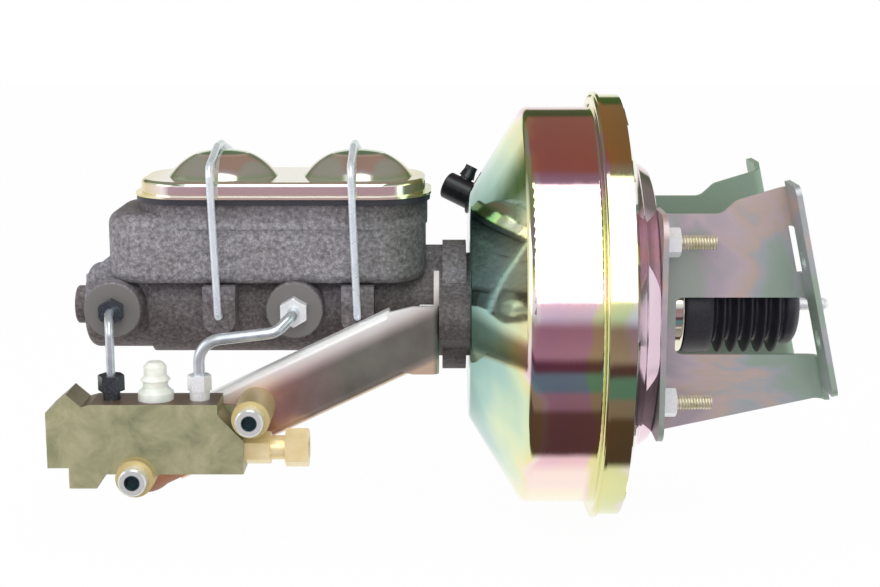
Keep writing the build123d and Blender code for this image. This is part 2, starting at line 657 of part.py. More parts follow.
def diaphragm():
    """The rubber diaphragm: clamped bead, rolling fold, and the web that lies behind the plate."""
    bead_x = SHOULDER_FACE_X + SOFT_GAP
    bead_outer = REAR_RIM_RADIUS - SOFT_GAP
    bead = ring(bead_x, bead_x + BEAD_THICKNESS, bead_outer, bead_outer - BEAD_WIDTH)
    web_x = DIAPHRAGM_BACK_X
    fold_x = bead_x + BEAD_THICKNESS / 2 + DIAPHRAGM_THICKNESS / 2
    reach = DIAPHRAGM_THICKNESS + 2 * SEAT_GAP
    points = ((fold_x, bead_outer - BEAD_WIDTH / 2), (fold_x, PLATE_OUTER_RADIUS + 2 * reach),
              (web_x - PLATE_DISH_DEPTH + reach, PLATE_OUTER_RADIUS + reach),
              (web_x, PLATE_FLAT_RADIUS + reach), (web_x, TUBE_RADIUS + SEAT_GAP))
    path = FilletPolyline(*points, radius=list(DIAPHRAGM_BENDS))
    web = revolve(make_face(offset(path, DIAPHRAGM_THICKNESS, side=Side.RIGHT)), Axis.X)
    return bead + web


def lock_ring():
    return ring(LOCK_RING_X, LOCK_RING_X + LOCK_RING_THICKNESS,
                TUBE_RADIUS + LOCK_RING_WIDTH, TUBE_RADIUS + RUNNING_FIT)


def valve_body():
    """The moulded valve body: hub, tube, reaction cup, plunger guide and the poppet's seat."""
    cup = REACTION_DISC_RADIUS + SEAT_GAP
    nose = PLUNGER_NOSE_RADIUS + 2 * RUNNING_FIT
    return turned((HUB_FRONT_X, cup), (HUB_FRONT_X, HUB_RADIUS), (HUB_BACK_X, HUB_RADIUS),
                  (HUB_BACK_X, TUBE_RADIUS), (TUBE_END_X, TUBE_RADIUS), (TUBE_END_X, TUBE_BORE_RADIUS),
                  (POPPET_SEAT_X, TUBE_BORE_RADIUS), (POPPET_SEAT_X, GUIDE_RADIUS),
                  (GUIDE_START_X, GUIDE_RADIUS), (GUIDE_START_X, nose),
                  (REACTION_FACE_X, nose), (REACTION_FACE_X, cup))


def reaction_disc():
    front = REACTION_FACE_X - REACTION_DISC_THICKNESS
    return rod((front, 0, 0), (REACTION_FACE_X, 0, 0), REACTION_DISC_RADIUS)


def output_rod():
    """The rod that pushes the primary piston; its round head bears on the reaction disc."""
    head_back = HUB_FRONT_X + ROD_HEAD_THICKNESS
    tip = PRIMARY_PISTON_BACK_X - ROD_SOCKET_DEPTH + SEAT_GAP
    taper_end = tip + OUTPUT_ROD_TIP_RADIUS
    neck_end = tip + OUTPUT_ROD_NECK_LENGTH
    return turned((tip, 0), (tip, OUTPUT_ROD_TIP_RADIUS), (taper_end, OUTPUT_ROD_NECK_RADIUS),
                  (neck_end, OUTPUT_ROD_NECK_RADIUS), (neck_end, OUTPUT_ROD_RADIUS),
                  (HUB_FRONT_X, OUTPUT_ROD_RADIUS), (HUB_FRONT_X, REACTION_DISC_RADIUS),
                  (head_back, REACTION_DISC_RADIUS), (head_back, 0))


def pushrod():
    """Pushrod with its ball, spring collar and rounded outer end; the plunger is crimped on its ball."""
    ball_x = PLUNGER_BACK_X - PUSHROD_BALL_RADIUS
    round_x = PUSHROD_REACH - PUSHROD_END_RADIUS
    shaft = rod((ball_x, 0, 0), (round_x - PUSHROD_END_LENGTH, 0, 0), PUSHROD_RADIUS)
    end = rod((ball_x, 0, 0), (round_x, 0, 0), PUSHROD_END_RADIUS)
    end += Pos(round_x, 0, 0) * Sphere(PUSHROD_END_RADIUS)
    ball = Pos(ball_x, 0, 0) * Sphere(PUSHROD_BALL_RADIUS)
    collar = rod((ROD_COLLAR_X, 0, 0), (ROD_COLLAR_X + ROD_COLLAR_THICKNESS, 0, 0), ROD_COLLAR_RADIUS)
    return shaft + ball + end + collar


def plunger():
    ball_x = PLUNGER_BACK_X - PUSHROD_BALL_RADIUS
    body = rod((PLUNGER_FRONT_X, 0, 0), (PLUNGER_BACK_X, 0, 0), PLUNGER_RADIUS)
    nose = rod((PLUNGER_NOSE_X, 0, 0), (PLUNGER_FRONT_X, 0, 0), PLUNGER_NOSE_RADIUS)
    socket = Pos(ball_x, 0, 0) * Sphere(PUSHROD_BALL_RADIUS + RUNNING_FIT)
    mouth = rod((ball_x, 0, 0), (PLUNGER_BACK_X + CUT, 0, 0), PUSHROD_RADIUS + SEAT_GAP)
    return body + nose - socket - mouth


def boot_outline(shrink):
    """Half section of the boot from its collar to its tip, moved inwards by one wall."""
    points = [(BOOT_START_X, NECK_RADIUS - shrink)]
    start = BOOT_START_X + BOOT_COLLAR_LENGTH
    points.append((start, NECK_RADIUS - shrink))
    points.append((start + BOOT_PITCH / 4, BOOT_VALLEY_RADIUS - shrink))
    for index in range(BOOT_RIDGES):
        ridge = start + BOOT_FIRST_RIDGE + index * BOOT_PITCH
        points.append((ridge - BOOT_RIDGE_HALF_WIDTH, BOOT_RIDGE_RADIUS - shrink))
        points.append((ridge + BOOT_RIDGE_HALF_WIDTH, BOOT_RIDGE_RADIUS - shrink))
        points.append((ridge + BOOT_PITCH / 2, BOOT_VALLEY_RADIUS - shrink))
    return points


def boot():
    """Rubber boot: collar over the neck's spigot, ridges, and a tapered end round the pushrod."""
    collar_bore = SPIGOT_RADIUS + SOFT_GAP
    outer = boot_outline(0)
    inner = boot_outline(BOOT_WALL)[2:]
    tail_start = outer[-1][0]
    outer[-1] = (tail_start, BOOT_TAIL_RADIUS)
    inner[-1] = (tail_start, BOOT_TAIL_RADIUS - BOOT_WALL)
    tip = tail_start + BOOT_TAIL_LENGTH
    hole = PUSHROD_RADIUS + SOFT_GAP
    taper_x = tip - BOOT_END_LENGTH
    taper = BOOT_TAIL_RADIUS - BOOT_TAIL_TAPER
    outer += [(taper_x, taper), (tip, BOOT_END_RADIUS), (tip, hole)]
    inner += [(taper_x - BOOT_WALL, taper - BOOT_WALL), (tip - 2 * BOOT_WALL, hole)]
    step_x = SPIGOT_END_X + SOFT_GAP
    collar = [(step_x, BOOT_VALLEY_RADIUS - BOOT_WALL), (step_x, collar_bore), (BOOT_START_X, collar_bore)]
    return turned(*outer, *reversed(inner), *collar)


def firewall_bracket():
    """One firewall bracket, the near one: base flange, side plate and the sloping firewall flange."""
    inner_y = -BRACKET_OUTER_Y + BRACKET_SHEET
    outer_y = -BRACKET_OUTER_Y - FLANGE_WIDTH
    bend_path = FilletPolyline((inner_y, 2 * REAR_FACE_X), (inner_y, 0), (outer_y, 0), radius=FLANGE_BEND)
    bend = make_face(offset(bend_path, BRACKET_SHEET, side=Side.LEFT))
    across = Plane(origin=(0, 0, 0), x_dir=(0, 1, 0), z_dir=-FIREWALL.y_dir)
    channel = extrude(across * bend, 2 * FLANGE_TOP, both=True)
    outline = ((REAR_FACE_X, PLATE_TOP_Z), (PLATE_FLAT_END_X, PLATE_TOP_Z), (PLATE_RISE_X, PLATE_RISE_Z),
               (PLATE_TIP_X, PLATE_TIP_Z), (-PLATE_RISE_X, PLATE_TIP_Z), (-PLATE_RISE_X, PLATE_FOOT_Z),
               (PLATE_FOOT_X, PLATE_FOOT_Z), (REAR_FACE_X, PLATE_BOTTOM_Z))
    side = Plane(origin=(0, inner_y, 0), x_dir=(1, 0, 0), z_dir=(0, -1, 0))
    web_zone = extrude(side * make_face(Polyline(*outline, close=True)), FLANGE_BEND)
    upright = web_zone.edges().filter_by(Axis.Y).group_by(Axis.X)
    web_zone = fillet(upright[1] + upright[2], PLATE_FILLET)
    flange_centre = outer_y + (FLANGE_WIDTH + BRACKET_SHEET - FLANGE_BEND) / 2
    middle = (FLANGE_TOP + FLANGE_BOTTOM) / 2
    flange_zone = FIREWALL * Pos(flange_centre, middle, 0) * Box(
        FLANGE_WIDTH + BRACKET_SHEET - FLANGE_BEND, FLANGE_TOP - FLANGE_BOTTOM, 4 * BRACKET_SHEET)
    corners = flange_zone.edges().filter_by(Axis((0, 0, 0), FIREWALL.z_dir)).sort_by(Axis.Y)
    flange_zone = fillet(corners[0:2], FLANGE_CORNER)
    bracket = channel & (web_zone + flange_zone)
    base_height = BASE_TOP_Z - BASE_BOTTOM_Z
    base_width = BASE_WIDTH + BRACKET_SHEET
    base_z = (BASE_TOP_Z + BASE_BOTTOM_Z) / 2
    base = Pos(REAR_FACE_X + BRACKET_SHEET / 2, inner_y - base_width / 2, base_z) * Box(
        BRACKET_SHEET, base_width, base_height)
    base = fillet(base.edges().filter_by(Axis.X).group_by(Axis.Y)[0], BASE_CORNER)
    bracket += base
    outer_bend = bracket.edges().filter_by(Axis.Z).sort_by_distance((REAR_FACE_X, inner_y, 0))[0]
    bracket = fillet(outer_bend, BASE_BEND)
    window_length = FLANGE_TOP - WINDOW_START_X
    window = Pos(WINDOW_START_X + window_length / 2, 0, (WINDOW_TOP_Z + WINDOW_BOTTOM_Z) / 2) * Box(
        window_length, 2 * (BRACKET_OUTER_Y + FLANGE_BEND), WINDOW_TOP_Z - WINDOW_BOTTOM_Z)
    window = fillet(window.edges().filter_by(Axis.Y), WINDOW_CORNER)
    slot = FIREWALL * Pos(inner_y, (SLOT_TOP + SLOT_BOTTOM) / 2, 0) * Box(
        2 * SLOT_REACH, SLOT_TOP - SLOT_BOTTOM, 2 * SLOT_DEPTH)
    bracket = bracket - window - slot
    for height in (FIREWALL_HOLE_UPPER, FIREWALL_HOLE_LOWER):
        hole = Cylinder(FIREWALL_HOLE_DIAMETER / 2, 2 * (BRACKET_SHEET + CUT))
        bracket -= FIREWALL * Pos(-FIREWALL_HOLE_Y, height, 0) * hole
    for side in SIDES:
        z = side * REAR_STUD_Z
        hole_end = (REAR_FACE_X + 2 * CUT, -REAR_STUD_Y, z)
        bracket -= rod((REAR_FACE_X - CUT, -REAR_STUD_Y, z), hole_end, REAR_STUD_HOLE)
    return bracket


def rear_studs():
    """Four studs with round collars inside the rear shell."""
    inside = REAR_FACE_X - SHELL_WALL
    studs = []
    for y, z in rear_stud_places():
        shank = rod((inside, y, z), (REAR_FACE_X + REAR_STUD_LENGTH, y, z), REAR_STUD_DIAMETER / 2)
        shank = chamfer_outer_edge(shank, (REAR_FACE_X + REAR_STUD_LENGTH, y, z), EDGE_CHAMFER)
        studs.append(shank + rod((inside - STUD_COLLAR_THICKNESS, y, z), (inside, y, z), STUD_COLLAR_RADIUS))
    return studs


def rear_washers():
    seat = REAR_FACE_X + BRACKET_SHEET
    washer = ring(seat, seat + WASHER_THICKNESS, REAR_WASHER_RADIUS, REAR_STUD_HOLE)
    return [Pos(0, y, z) * washer for y, z in rear_stud_places()]


def rear_nuts():
    seat = REAR_FACE_X + BRACKET_SHEET + WASHER_THICKNESS
    bore = REAR_STUD_DIAMETER / 2 + RUNNING_FIT
    return [hex_nut((seat, y, z), (seat + REAR_NUT_HEIGHT, y, z), REAR_NUT_FLATS, bore)
            for y, z in rear_stud_places()]


def front_studs():
    """Two studs that hold the master cylinder; their collars lie inside the front shell."""
    inside = FRONT_FACE_X + SHELL_WALL
    tip = FRONT_FACE_X - FRONT_STUD_LENGTH
    studs = []
    for side in SIDES:
        y = side * FRONT_STUD_Y
        shank = rod((inside, y, 0), (tip, y, 0), FRONT_STUD_DIAMETER / 2)
        shank = chamfer_outer_edge(shank, (tip, y, 0), EDGE_CHAMFER)
        studs.append(shank + rod((inside, y, 0), (inside + STUD_COLLAR_THICKNESS, y, 0), STUD_COLLAR_RADIUS))
    return studs


def master_nuts():
    """The near nut seats on the valve bracket's ear, the far one on the casting."""
    bore = FRONT_STUD_DIAMETER / 2 + RUNNING_FIT
    near_seat = MASTER_FACE_X - CHANNEL_SHEET
    near = hex_nut((near_seat, -FRONT_STUD_Y, 0), (near_seat - FRONT_NUT_HEIGHT, -FRONT_STUD_Y, 0),
                   FRONT_NUT_FLATS, bore)
    far = hex_nut((MASTER_FACE_X, FRONT_STUD_Y, 0), (MASTER_FACE_X - FRONT_NUT_HEIGHT, FRONT_STUD_Y, 0),
                  FRONT_NUT_FLATS, bore)
    return [near, far]


def neck_seal():
    start = REAR_FACE_X + SHELL_WALL
    return ring(start, start + NECK_SEAL_LENGTH, NECK_BORE - SOFT_GAP, TUBE_RADIUS + SOFT_GAP)


def seal_retainer():
    start = REAR_FACE_X + SHELL_WALL + NECK_SEAL_LENGTH
    return ring(start, start + SEAL_RETAINER_THICKNESS, NECK_BORE - RUNNING_FIT, TUBE_RADIUS + 2 * SEAT_GAP)


def front_seal():
    start = FRONT_FACE_X + SHELL_WALL + SOFT_GAP
    return ring(start, PILOT_END_X - SOFT_GAP, PILOT_RADIUS + SEAL_DEPTH, PILOT_RADIUS + SOFT_GAP)


def return_spring():
    return spring(FRONT_FACE_X + SHELL_WALL + SEAT_GAP, HUB_FRONT_X - SEAT_GAP,
                  RETURN_SPRING_RADIUS, RETURN_SPRING_WIRE, RETURN_SPRING_TURNS)


def poppet():
    return ring(POPPET_FRONT_X, POPPET_BACK_X, TUBE_BORE_RADIUS - SEAT_GAP, PUSHROD_HOLE)


def poppet_retainer():
    return ring(RETAINER_FRONT_X, RETAINER_BACK_X, TUBE_BORE_RADIUS - RUNNING_FIT, PUSHROD_HOLE)


def poppet_spring():
    return spring(POPPET_BACK_X + SEAT_GAP, RETAINER_FRONT_X - SEAT_GAP,
                  POPPET_SPRING_RADIUS, POPPET_SPRING_WIRE, VALVE_SPRING_TURNS)


def rod_spring():
    return spring(RETAINER_BACK_X + SEAT_GAP, ROD_COLLAR_X - SEAT_GAP,
                  ROD_SPRING_RADIUS, ROD_SPRING_WIRE, VALVE_SPRING_TURNS)


def air_filter():
    end = TUBE_END_X - SOFT_GAP
    return ring(end - FILTER_LENGTH, end, TUBE_BORE_RADIUS - SOFT_GAP, PUSHROD_HOLE)


def check_grommet():
    """Rubber grommet: a neck through the shell between an outer and an inner collar."""
    plane = check_frame()
    neck = CHECK_GROMMET_RADIUS - CHECK_GROMMET_GROOVE - SOFT_GAP
    inside = -SHELL_WALL - CHECK_GROMMET_INNER_GAP
    collar = Cylinder(CHECK_GROMMET_RADIUS, CHECK_GROMMET_LENGTH, align=UPWARDS)
    outer = Pos(0, 0, SOFT_GAP) * collar
    middle = Pos(0, 0, inside) * Cylinder(neck, SOFT_GAP - inside, align=UPWARDS)
    inner = Pos(0, 0, inside - CHECK_GROMMET_LENGTH) * collar
    hole = Cylinder(CHECK_STEM_RADIUS + SOFT_GAP, 2 * (CHECK_GROMMET_LENGTH + CHECK_STEM_LENGTH))
    return plane * (outer + middle + inner - hole)


def check_valve_body():
    """Elbow check valve: stem through the grommet, barrel outside, and a hose nipple with a bulb."""
    plane = check_frame()
    base = CHECK_GROMMET_LENGTH + 2 * SOFT_GAP
    barrel = plane * Pos(0, 0, base) * Cylinder(CHECK_BARREL_RADIUS, CHECK_BARREL_LENGTH, align=UPWARDS)
    rim = barrel.edges().filter_by(GeomType.CIRCLE).sort_by_distance(plane.origin)[-1]
    barrel = fillet(rim, CHECK_BARREL_ROUND)
    stem = plane * Pos(0, 0, base) * Cylinder(CHECK_STEM_RADIUS, base + CHECK_STEM_LENGTH, align=DOWNWARDS)
    axis = plane * Pos(0, 0, base + CHECK_BARREL_LENGTH / 2) * Rot(0, 90, 0)
    nipple = axis * Cylinder(CHECK_NIPPLE_RADIUS, CHECK_NIPPLE_LENGTH, align=UPWARDS)
    bulb = axis * Pos(0, 0, CHECK_NIPPLE_LENGTH - CHECK_BULB_LENGTH) * Cone(
        CHECK_BULB_RADIUS, CHECK_MOUTH_RADIUS, CHECK_BULB_LENGTH, align=UPWARDS)
    chamber = plane * Pos(0, 0, base + CHECK_CHAMBER_START) * Cylinder(
        CHECK_CHAMBER_RADIUS, CHECK_BARREL_LENGTH - 2 * CHECK_CHAMBER_START, align=UPWARDS)
    reach = CHECK_BARREL_LENGTH + CHECK_STEM_LENGTH + CUT
    inlet = plane * Pos(0, 0, base + CHECK_BARREL_LENGTH / 2) * Cylinder(
        CHECK_PASSAGE_RADIUS, reach, align=DOWNWARDS)
    outlet = axis * Cylinder(CHECK_PASSAGE_RADIUS, CHECK_NIPPLE_LENGTH + CUT, align=UPWARDS)
    return barrel + stem + nipple + bulb - chamber - inlet - outlet


def check_disc():
    """Sealing disc; at rest it lies on the seat round the inlet."""
    seat = CHECK_GROMMET_LENGTH + 2 * SOFT_GAP + CHECK_CHAMBER_START
    disc = Cylinder(CHECK_DISC_RADIUS, CHECK_DISC_THICKNESS, align=UPWARDS)
    return check_frame() * Pos(0, 0, seat + RUNNING_FIT) * disc


def check_spring():
    seat = CHECK_GROMMET_LENGTH + 2 * SOFT_GAP + CHECK_CHAMBER_START
    start = seat + RUNNING_FIT + CHECK_DISC_THICKNESS + SEAT_GAP
    end = CHECK_GROMMET_LENGTH + 2 * SOFT_GAP + CHECK_BARREL_LENGTH - CHECK_CHAMBER_START - SEAT_GAP
    coil = spring(start, end, CHECK_SPRING_RADIUS, CHECK_SPRING_WIRE, CHECK_SPRING_TURNS)
    return check_frame() * Rot(0, -90, 0) * coil


def master_body():
    """The casting: reservoir over the bore, mounting flange, outlet bosses, lugs and end boss."""
    body = reservoir_block() + bore_housing() + master_flange()
    for x in (FRONT_PORT_X, REAR_PORT_X):
        boss = rod((x, 0, PORT_Z), (x, PORT_FACE_Y, PORT_Z), PORT_BOSS_RADIUS)
        body += fillet(boss.edges().filter_by(GeomType.CIRCLE).sort_by(Axis.Y)[0], PORT_BOSS_ROUND)
    lug_height = LUG_TOP_Z - LUG_BOTTOM_Z
    for x in (BAIL_FRONT_X, BAIL_REAR_X):
        lug = Pos(x, 0, (LUG_TOP_Z + LUG_BOTTOM_Z) / 2) * Box(LUG_WIDTH, 2 * LUG_FACE_Y, lug_height)
        body += fillet(lug.edges().filter_by(Axis.Y).group_by(Axis.Z)[0], LUG_ROUND)
    body -= rod((PILOT_END_X + CUT, 0, 0), (BORE_END_X, 0, 0), BORE_RADIUS)
    for start, end in reservoir_mouths():
        low = start if start > DIVIDER_X else RESERVOIR_FRONT_X + RESERVOIR_WALL
        high = end if end < DIVIDER_X else RESERVOIR_REAR_X - RESERVOIR_WALL
        pocket_width = RESERVOIR_WIDTH - 2 * RESERVOIR_WALL
        mouth_width = RIM_WIDTH - 2 * RESERVOIR_WALL
        body -= rounded_slab(low, high, pocket_width, POCKET_CORNER, RESERVOIR_FLOOR_Z, RIM_BASE_Z)
        body -= rounded_slab(start, end, mouth_width, POCKET_CORNER, RIM_BASE_Z, RIM_Z + CUT)
    for front in (PRIMARY_FRONT_X, SECONDARY_FRONT_X):
        intake = front + INTAKE_SETBACK
        compensating = front - COMPENSATING_LEAD
        body -= rod((intake, 0, 0), (intake, 0, RESERVOIR_FLOOR_Z + CUT), INTAKE_RADIUS)
        body -= rod((compensating, 0, 0), (compensating, 0, RESERVOIR_FLOOR_Z + CUT), COMPENSATING_RADIUS)
    for x, radius in ((FRONT_PORT_X, FRONT_NUT_THREAD_RADIUS), (REAR_PORT_X, REAR_NUT_THREAD_RADIUS)):
        thread_end = PORT_FACE_Y + PORT_THREAD_DEPTH
        body -= rod((x, PORT_FACE_Y - CUT, PORT_Z), (x, thread_end, PORT_Z), radius + RUNNING_FIT)
        body -= rod((x, PORT_FACE_Y, PORT_Z), (x, 0, PORT_Z), PORT_PASSAGE_RADIUS)
    for x in (BAIL_FRONT_X, BAIL_REAR_X):
        for side in SIDES:
            mouth = (x, side * (LUG_FACE_Y + CUT), BAIL_PIVOT_Z)
            bottom = (x, side * (LUG_FACE_Y - BAIL_HOOK_DEPTH - SEAT_GAP), BAIL_PIVOT_Z)
            body -= rod(mouth, bottom, BAIL_RADIUS + RUNNING_FIT)
    for side in SIDES:
        y = side * FRONT_STUD_Y
        body -= rod((MASTER_FACE_X - CUT, y, 0), (FRONT_FACE_X + CUT, y, 0), FRONT_STUD_HOLE)
    return body


def reservoir_mouths():
    """Where the front and the rear chamber start and end at the rim."""
    return ((RIM_FRONT_X + RESERVOIR_WALL, DIVIDER_X - DIVIDER_WALL / 2),
            (DIVIDER_X + DIVIDER_WALL / 2, RIM_REAR_X - RESERVOIR_WALL))


def reservoir_block():
    """Reservoir with its rounded shoulders, the narrower rim on top and the webs that carry it."""
    block = rounded_slab(RESERVOIR_FRONT_X, RESERVOIR_REAR_X, RESERVOIR_WIDTH, RESERVOIR_CORNER,
                         RESERVOIR_BOTTOM_Z, SHOULDER_Z)
    block = fillet(block.faces().sort_by(Axis.Z)[-1].edges(), SHOULDER_ROUND)
    block = fillet(block.faces().sort_by(Axis.Z)[0].edges(), RESERVOIR_BOTTOM_ROUND)
    rim = rounded_slab(RIM_FRONT_X, RIM_REAR_X, RIM_WIDTH, COVER_CORNER, RIM_BASE_Z, RIM_Z)
    web = Pos((RESERVOIR_REAR_X + MASTER_FACE_X) / 2, 0, (REAR_WEB_TOP_Z + REAR_WEB_BOTTOM_Z) / 2) * Box(
        MASTER_FACE_X - RESERVOIR_REAR_X + 4 * SINK, REAR_WEB_WIDTH, REAR_WEB_TOP_Z - REAR_WEB_BOTTOM_Z)
    outline = ((RESERVOIR_FRONT_X + RESERVOIR_CORNER, TOE_TOP_Z), (RESERVOIR_FRONT_X, TOE_TOP_Z),
               (TOE_FRONT_X, TOE_SHOULDER_Z), (TOE_FRONT_X, 0), (RESERVOIR_FRONT_X + RESERVOIR_CORNER, 0))
    face = Plane(origin=(0, 0, 0), x_dir=(1, 0, 0), z_dir=(0, -1, 0))
    toe = extrude(face * make_face(Polyline(*outline, close=True)), TOE_WIDTH / 2, both=True)
    toe = fillet(toe.edges().filter_by(Axis.Z).group_by(Axis.X)[0], TOE_ROUND)
    return block + rim + web + toe


def bore_housing():
    """The round housing of the bore, narrower at its nose, and the small boss on its end."""
    housing = rod((NOSE_END_X + NOSE_LENGTH, 0, 0), (FRONT_FACE_X - SINK, 0, 0), BODY_RADIUS)
    nose = rod((NOSE_END_X, 0, 0), (NOSE_END_X + NOSE_LENGTH + SINK, 0, 0), NOSE_RADIUS)
    nose = fillet(nose.edges().filter_by(GeomType.CIRCLE).sort_by(Axis.X)[0], NOSE_ROUND)
    boss = rod((NOSE_END_X - END_BOSS_LENGTH, 0, 0), (NOSE_END_X + SINK, 0, 0), END_BOSS_RADIUS)
    boss = fillet(boss.edges().filter_by(GeomType.CIRCLE).sort_by(Axis.X)[0], END_BOSS_ROUND)
    return housing + nose + boss


def master_flange():
    """The oval mounting flange, the round disc between its ears and the pilot in the booster."""
    plane = Plane(origin=(MASTER_FACE_X, 0, 0), x_dir=(0, 1, 0), z_dir=(1, 0, 0))
    ears = [Pos(side * FRONT_STUD_Y, 0) * Circle(MASTER_FLANGE_EAR) for side in SIDES]
    oval = make_hull((Circle(MASTER_FLANGE_RADIUS) + ears[0] + ears[1]).edges())
    flange = extrude(plane * oval, MASTER_FLANGE_THICKNESS)
    disc_end = FRONT_FACE_X - MASTER_DISC_RELIEF
    disc = rod((disc_end - MASTER_DISC_THICKNESS, 0, 0), (disc_end, 0, 0), MASTER_DISC_RADIUS)
    pilot = rod((FRONT_FACE_X - SINK, 0, 0), (PILOT_END_X, 0, 0), PILOT_RADIUS)
    return flange + disc + pilot


def master_piston(back_x, length, nose):
    """A piston with a land at each end, beds for its two cups and a nose that guides its spring."""
    front_x = back_x - length
    middle = (back_x + front_x) / 2
    land = PISTON_LAND / 2
    bed = CUP_LENGTH + 2 * SOFT_GAP
    piston = rod((back_x, 0, 0), (front_x, 0, 0), SEALING_RADIUS)
    piston += rod((front_x, 0, 0), (front_x - nose, 0, 0), PISTON_NOSE_RADIUS)
    waist = length / 2 - PISTON_LAND - bed
    piston -= ring(middle - waist, middle + waist, BORE_RADIUS, PISTON_WAIST_RADIUS)
    for start in (back_x - land - bed, front_x + land):
        piston -= ring(start, start + bed, BORE_RADIUS, CUP_BED_RADIUS)
    return piston


def primary_piston():
    piston = master_piston(PRIMARY_PISTON_BACK_X, PRIMARY_PISTON_LENGTH, PISTON_NOSE_LENGTH)
    mouth = (PRIMARY_PISTON_BACK_X + CUT, 0, 0)
    return piston - rod(mouth, (PRIMARY_PISTON_BACK_X - ROD_SOCKET_DEPTH, 0, 0), OUTPUT_ROD_RADIUS)


def secondary_piston():
    return master_piston(SECONDARY_PISTON_BACK_X, SECONDARY_PISTON_LENGTH, PISTON_NOSE_LENGTH)


def piston_cups(back_x, length):
    """The two rubber cups of one piston, in their beds."""
    front_x = back_x - length
    first = back_x - PISTON_LAND / 2 - SOFT_GAP
    second = front_x + PISTON_LAND / 2 + SOFT_GAP
    outer = BORE_RADIUS - SOFT_GAP
    inner = CUP_BED_RADIUS + SOFT_GAP
    return [ring(first - CUP_LENGTH, first, outer, inner), ring(second, second + CUP_LENGTH, outer, inner)]


def primary_spring():
    return spring(SECONDARY_PISTON_BACK_X + SEAT_GAP, PRIMARY_FRONT_X - SEAT_GAP,
                  MASTER_SPRING_RADIUS, MASTER_SPRING_WIRE, PRIMARY_SPRING_TURNS)


def secondary_spring():
    return spring(BORE_END_X + SEAT_GAP, SECONDARY_FRONT_X - SEAT_GAP,
                  MASTER_SPRING_RADIUS, MASTER_SPRING_WIRE, SECONDARY_SPRING_TURNS)


def snap_ring():
    """The ring that keeps the primary piston in the bore."""
    start = PRIMARY_PISTON_BACK_X + SEAT_GAP
    return ring(start, start + SNAP_RING_THICKNESS, BORE_RADIUS - RUNNING_FIT, BORE_RADIUS - SNAP_RING_WIDTH)


def cover():
    """Pressed cover: lip, raised top, and two domes with flatter caps that the bails press on."""
    front = COVER_CENTRE_X - COVER_LENGTH / 2
    rear = COVER_CENTRE_X + COVER_LENGTH / 2
    inset = COVER_LIP + COVER_SHEET
    lip = rounded_slab(front, rear, COVER_WIDTH, COVER_CORNER, COVER_BOTTOM_Z, COVER_BOTTOM_Z + COVER_SHEET)
    wall = rounded_slab(front + COVER_LIP, rear - COVER_LIP, COVER_WIDTH - 2 * COVER_LIP,
                        COVER_CORNER - COVER_LIP, COVER_BOTTOM_Z, COVER_TOP_Z)
    wall = fillet(wall.faces().sort_by(Axis.Z)[-1].edges(), COVER_ROUND)
    hollow = rounded_slab(front + inset, rear - inset, COVER_WIDTH - 2 * inset,
                          COVER_CORNER - inset, COVER_BOTTOM_Z - CUT, COVER_TOP_Z - COVER_SHEET)
    hollow = fillet(hollow.faces().sort_by(Axis.Z)[-1].edges(), COVER_ROUND - COVER_SHEET)
    outside = lip + wall
    for x in (BAIL_FRONT_X - DOME_OFFSET, BAIL_REAR_X - DOME_OFFSET):
        outside += Pos(x, 0, COVER_TOP_Z) * dome(0)
        hollow += Pos(x, 0, COVER_TOP_Z - COVER_SHEET) * dome(COVER_SHEET / 2)
    return outside - hollow


def dome(shrink):
    """A solid dome in two stages, its foot sunk a little below its base."""
    base = DOME_RADIUS - shrink
    cap = DOME_CAP_RADIUS - shrink
    cap_z = DOME_HEIGHT - DOME_CAP_DROP
    flank = dome_arc((base, 0), (cap, cap_z))
    top = dome_arc((cap, cap_z), (0, DOME_HEIGHT))
    foot = Polyline((0, DOME_HEIGHT), (0, -SINK), (base, -SINK), (base, 0))
    return revolve(Plane.XZ * make_face(flank + top + foot), Axis.Z)


def dome_arc(start, end):
    """An arc between two points of a dome's half section, with its centre on the dome's axis."""
    squares = start[0] ** 2 + start[1] ** 2 - end[0] ** 2 - end[1] ** 2
    centre_z = squares / (2 * (start[1] - end[1]))
    radius = math.hypot(start[0], start[1] - centre_z)
    first = math.atan2(start[1] - centre_z, start[0])
    last = math.atan2(end[1] - centre_z, end[0])
    halfway = (first + last) / 2
    return ThreePointArc(start, (radius * math.cos(halfway), centre_z + radius * math.sin(halfway)), end)


def cover_gasket():
    """Rubber gasket on the rim, with a bellows pocket hanging in each chamber."""
    length = COVER_LENGTH / 2 - GASKET_INSET
    sheet = rounded_slab(COVER_CENTRE_X - length, COVER_CENTRE_X + length, COVER_WIDTH - 2 * GASKET_INSET,
                         COVER_CORNER - GASKET_INSET, RIM_Z + SOFT_GAP / 2, COVER_BOTTOM_Z - SOFT_GAP / 2)
    width = RIM_WIDTH - 2 * RESERVOIR_WALL - 2 * BELLOWS_MARGIN
    bottom = RIM_Z - BELLOWS_DEPTH
    for start, end in reservoir_mouths():
        low = start + BELLOWS_MARGIN
        high = end - BELLOWS_MARGIN
        sheet += rounded_slab(low, high, width, BELLOWS_CORNER, bottom, RIM_Z + SINK)
        sheet -= rounded_slab(low + BELLOWS_WALL, high - BELLOWS_WALL, width - 2 * BELLOWS_WALL,
                              BELLOWS_CORNER - BELLOWS_WALL, bottom + BELLOWS_WALL, COVER_BOTTOM_Z + CUT)
    return sheet


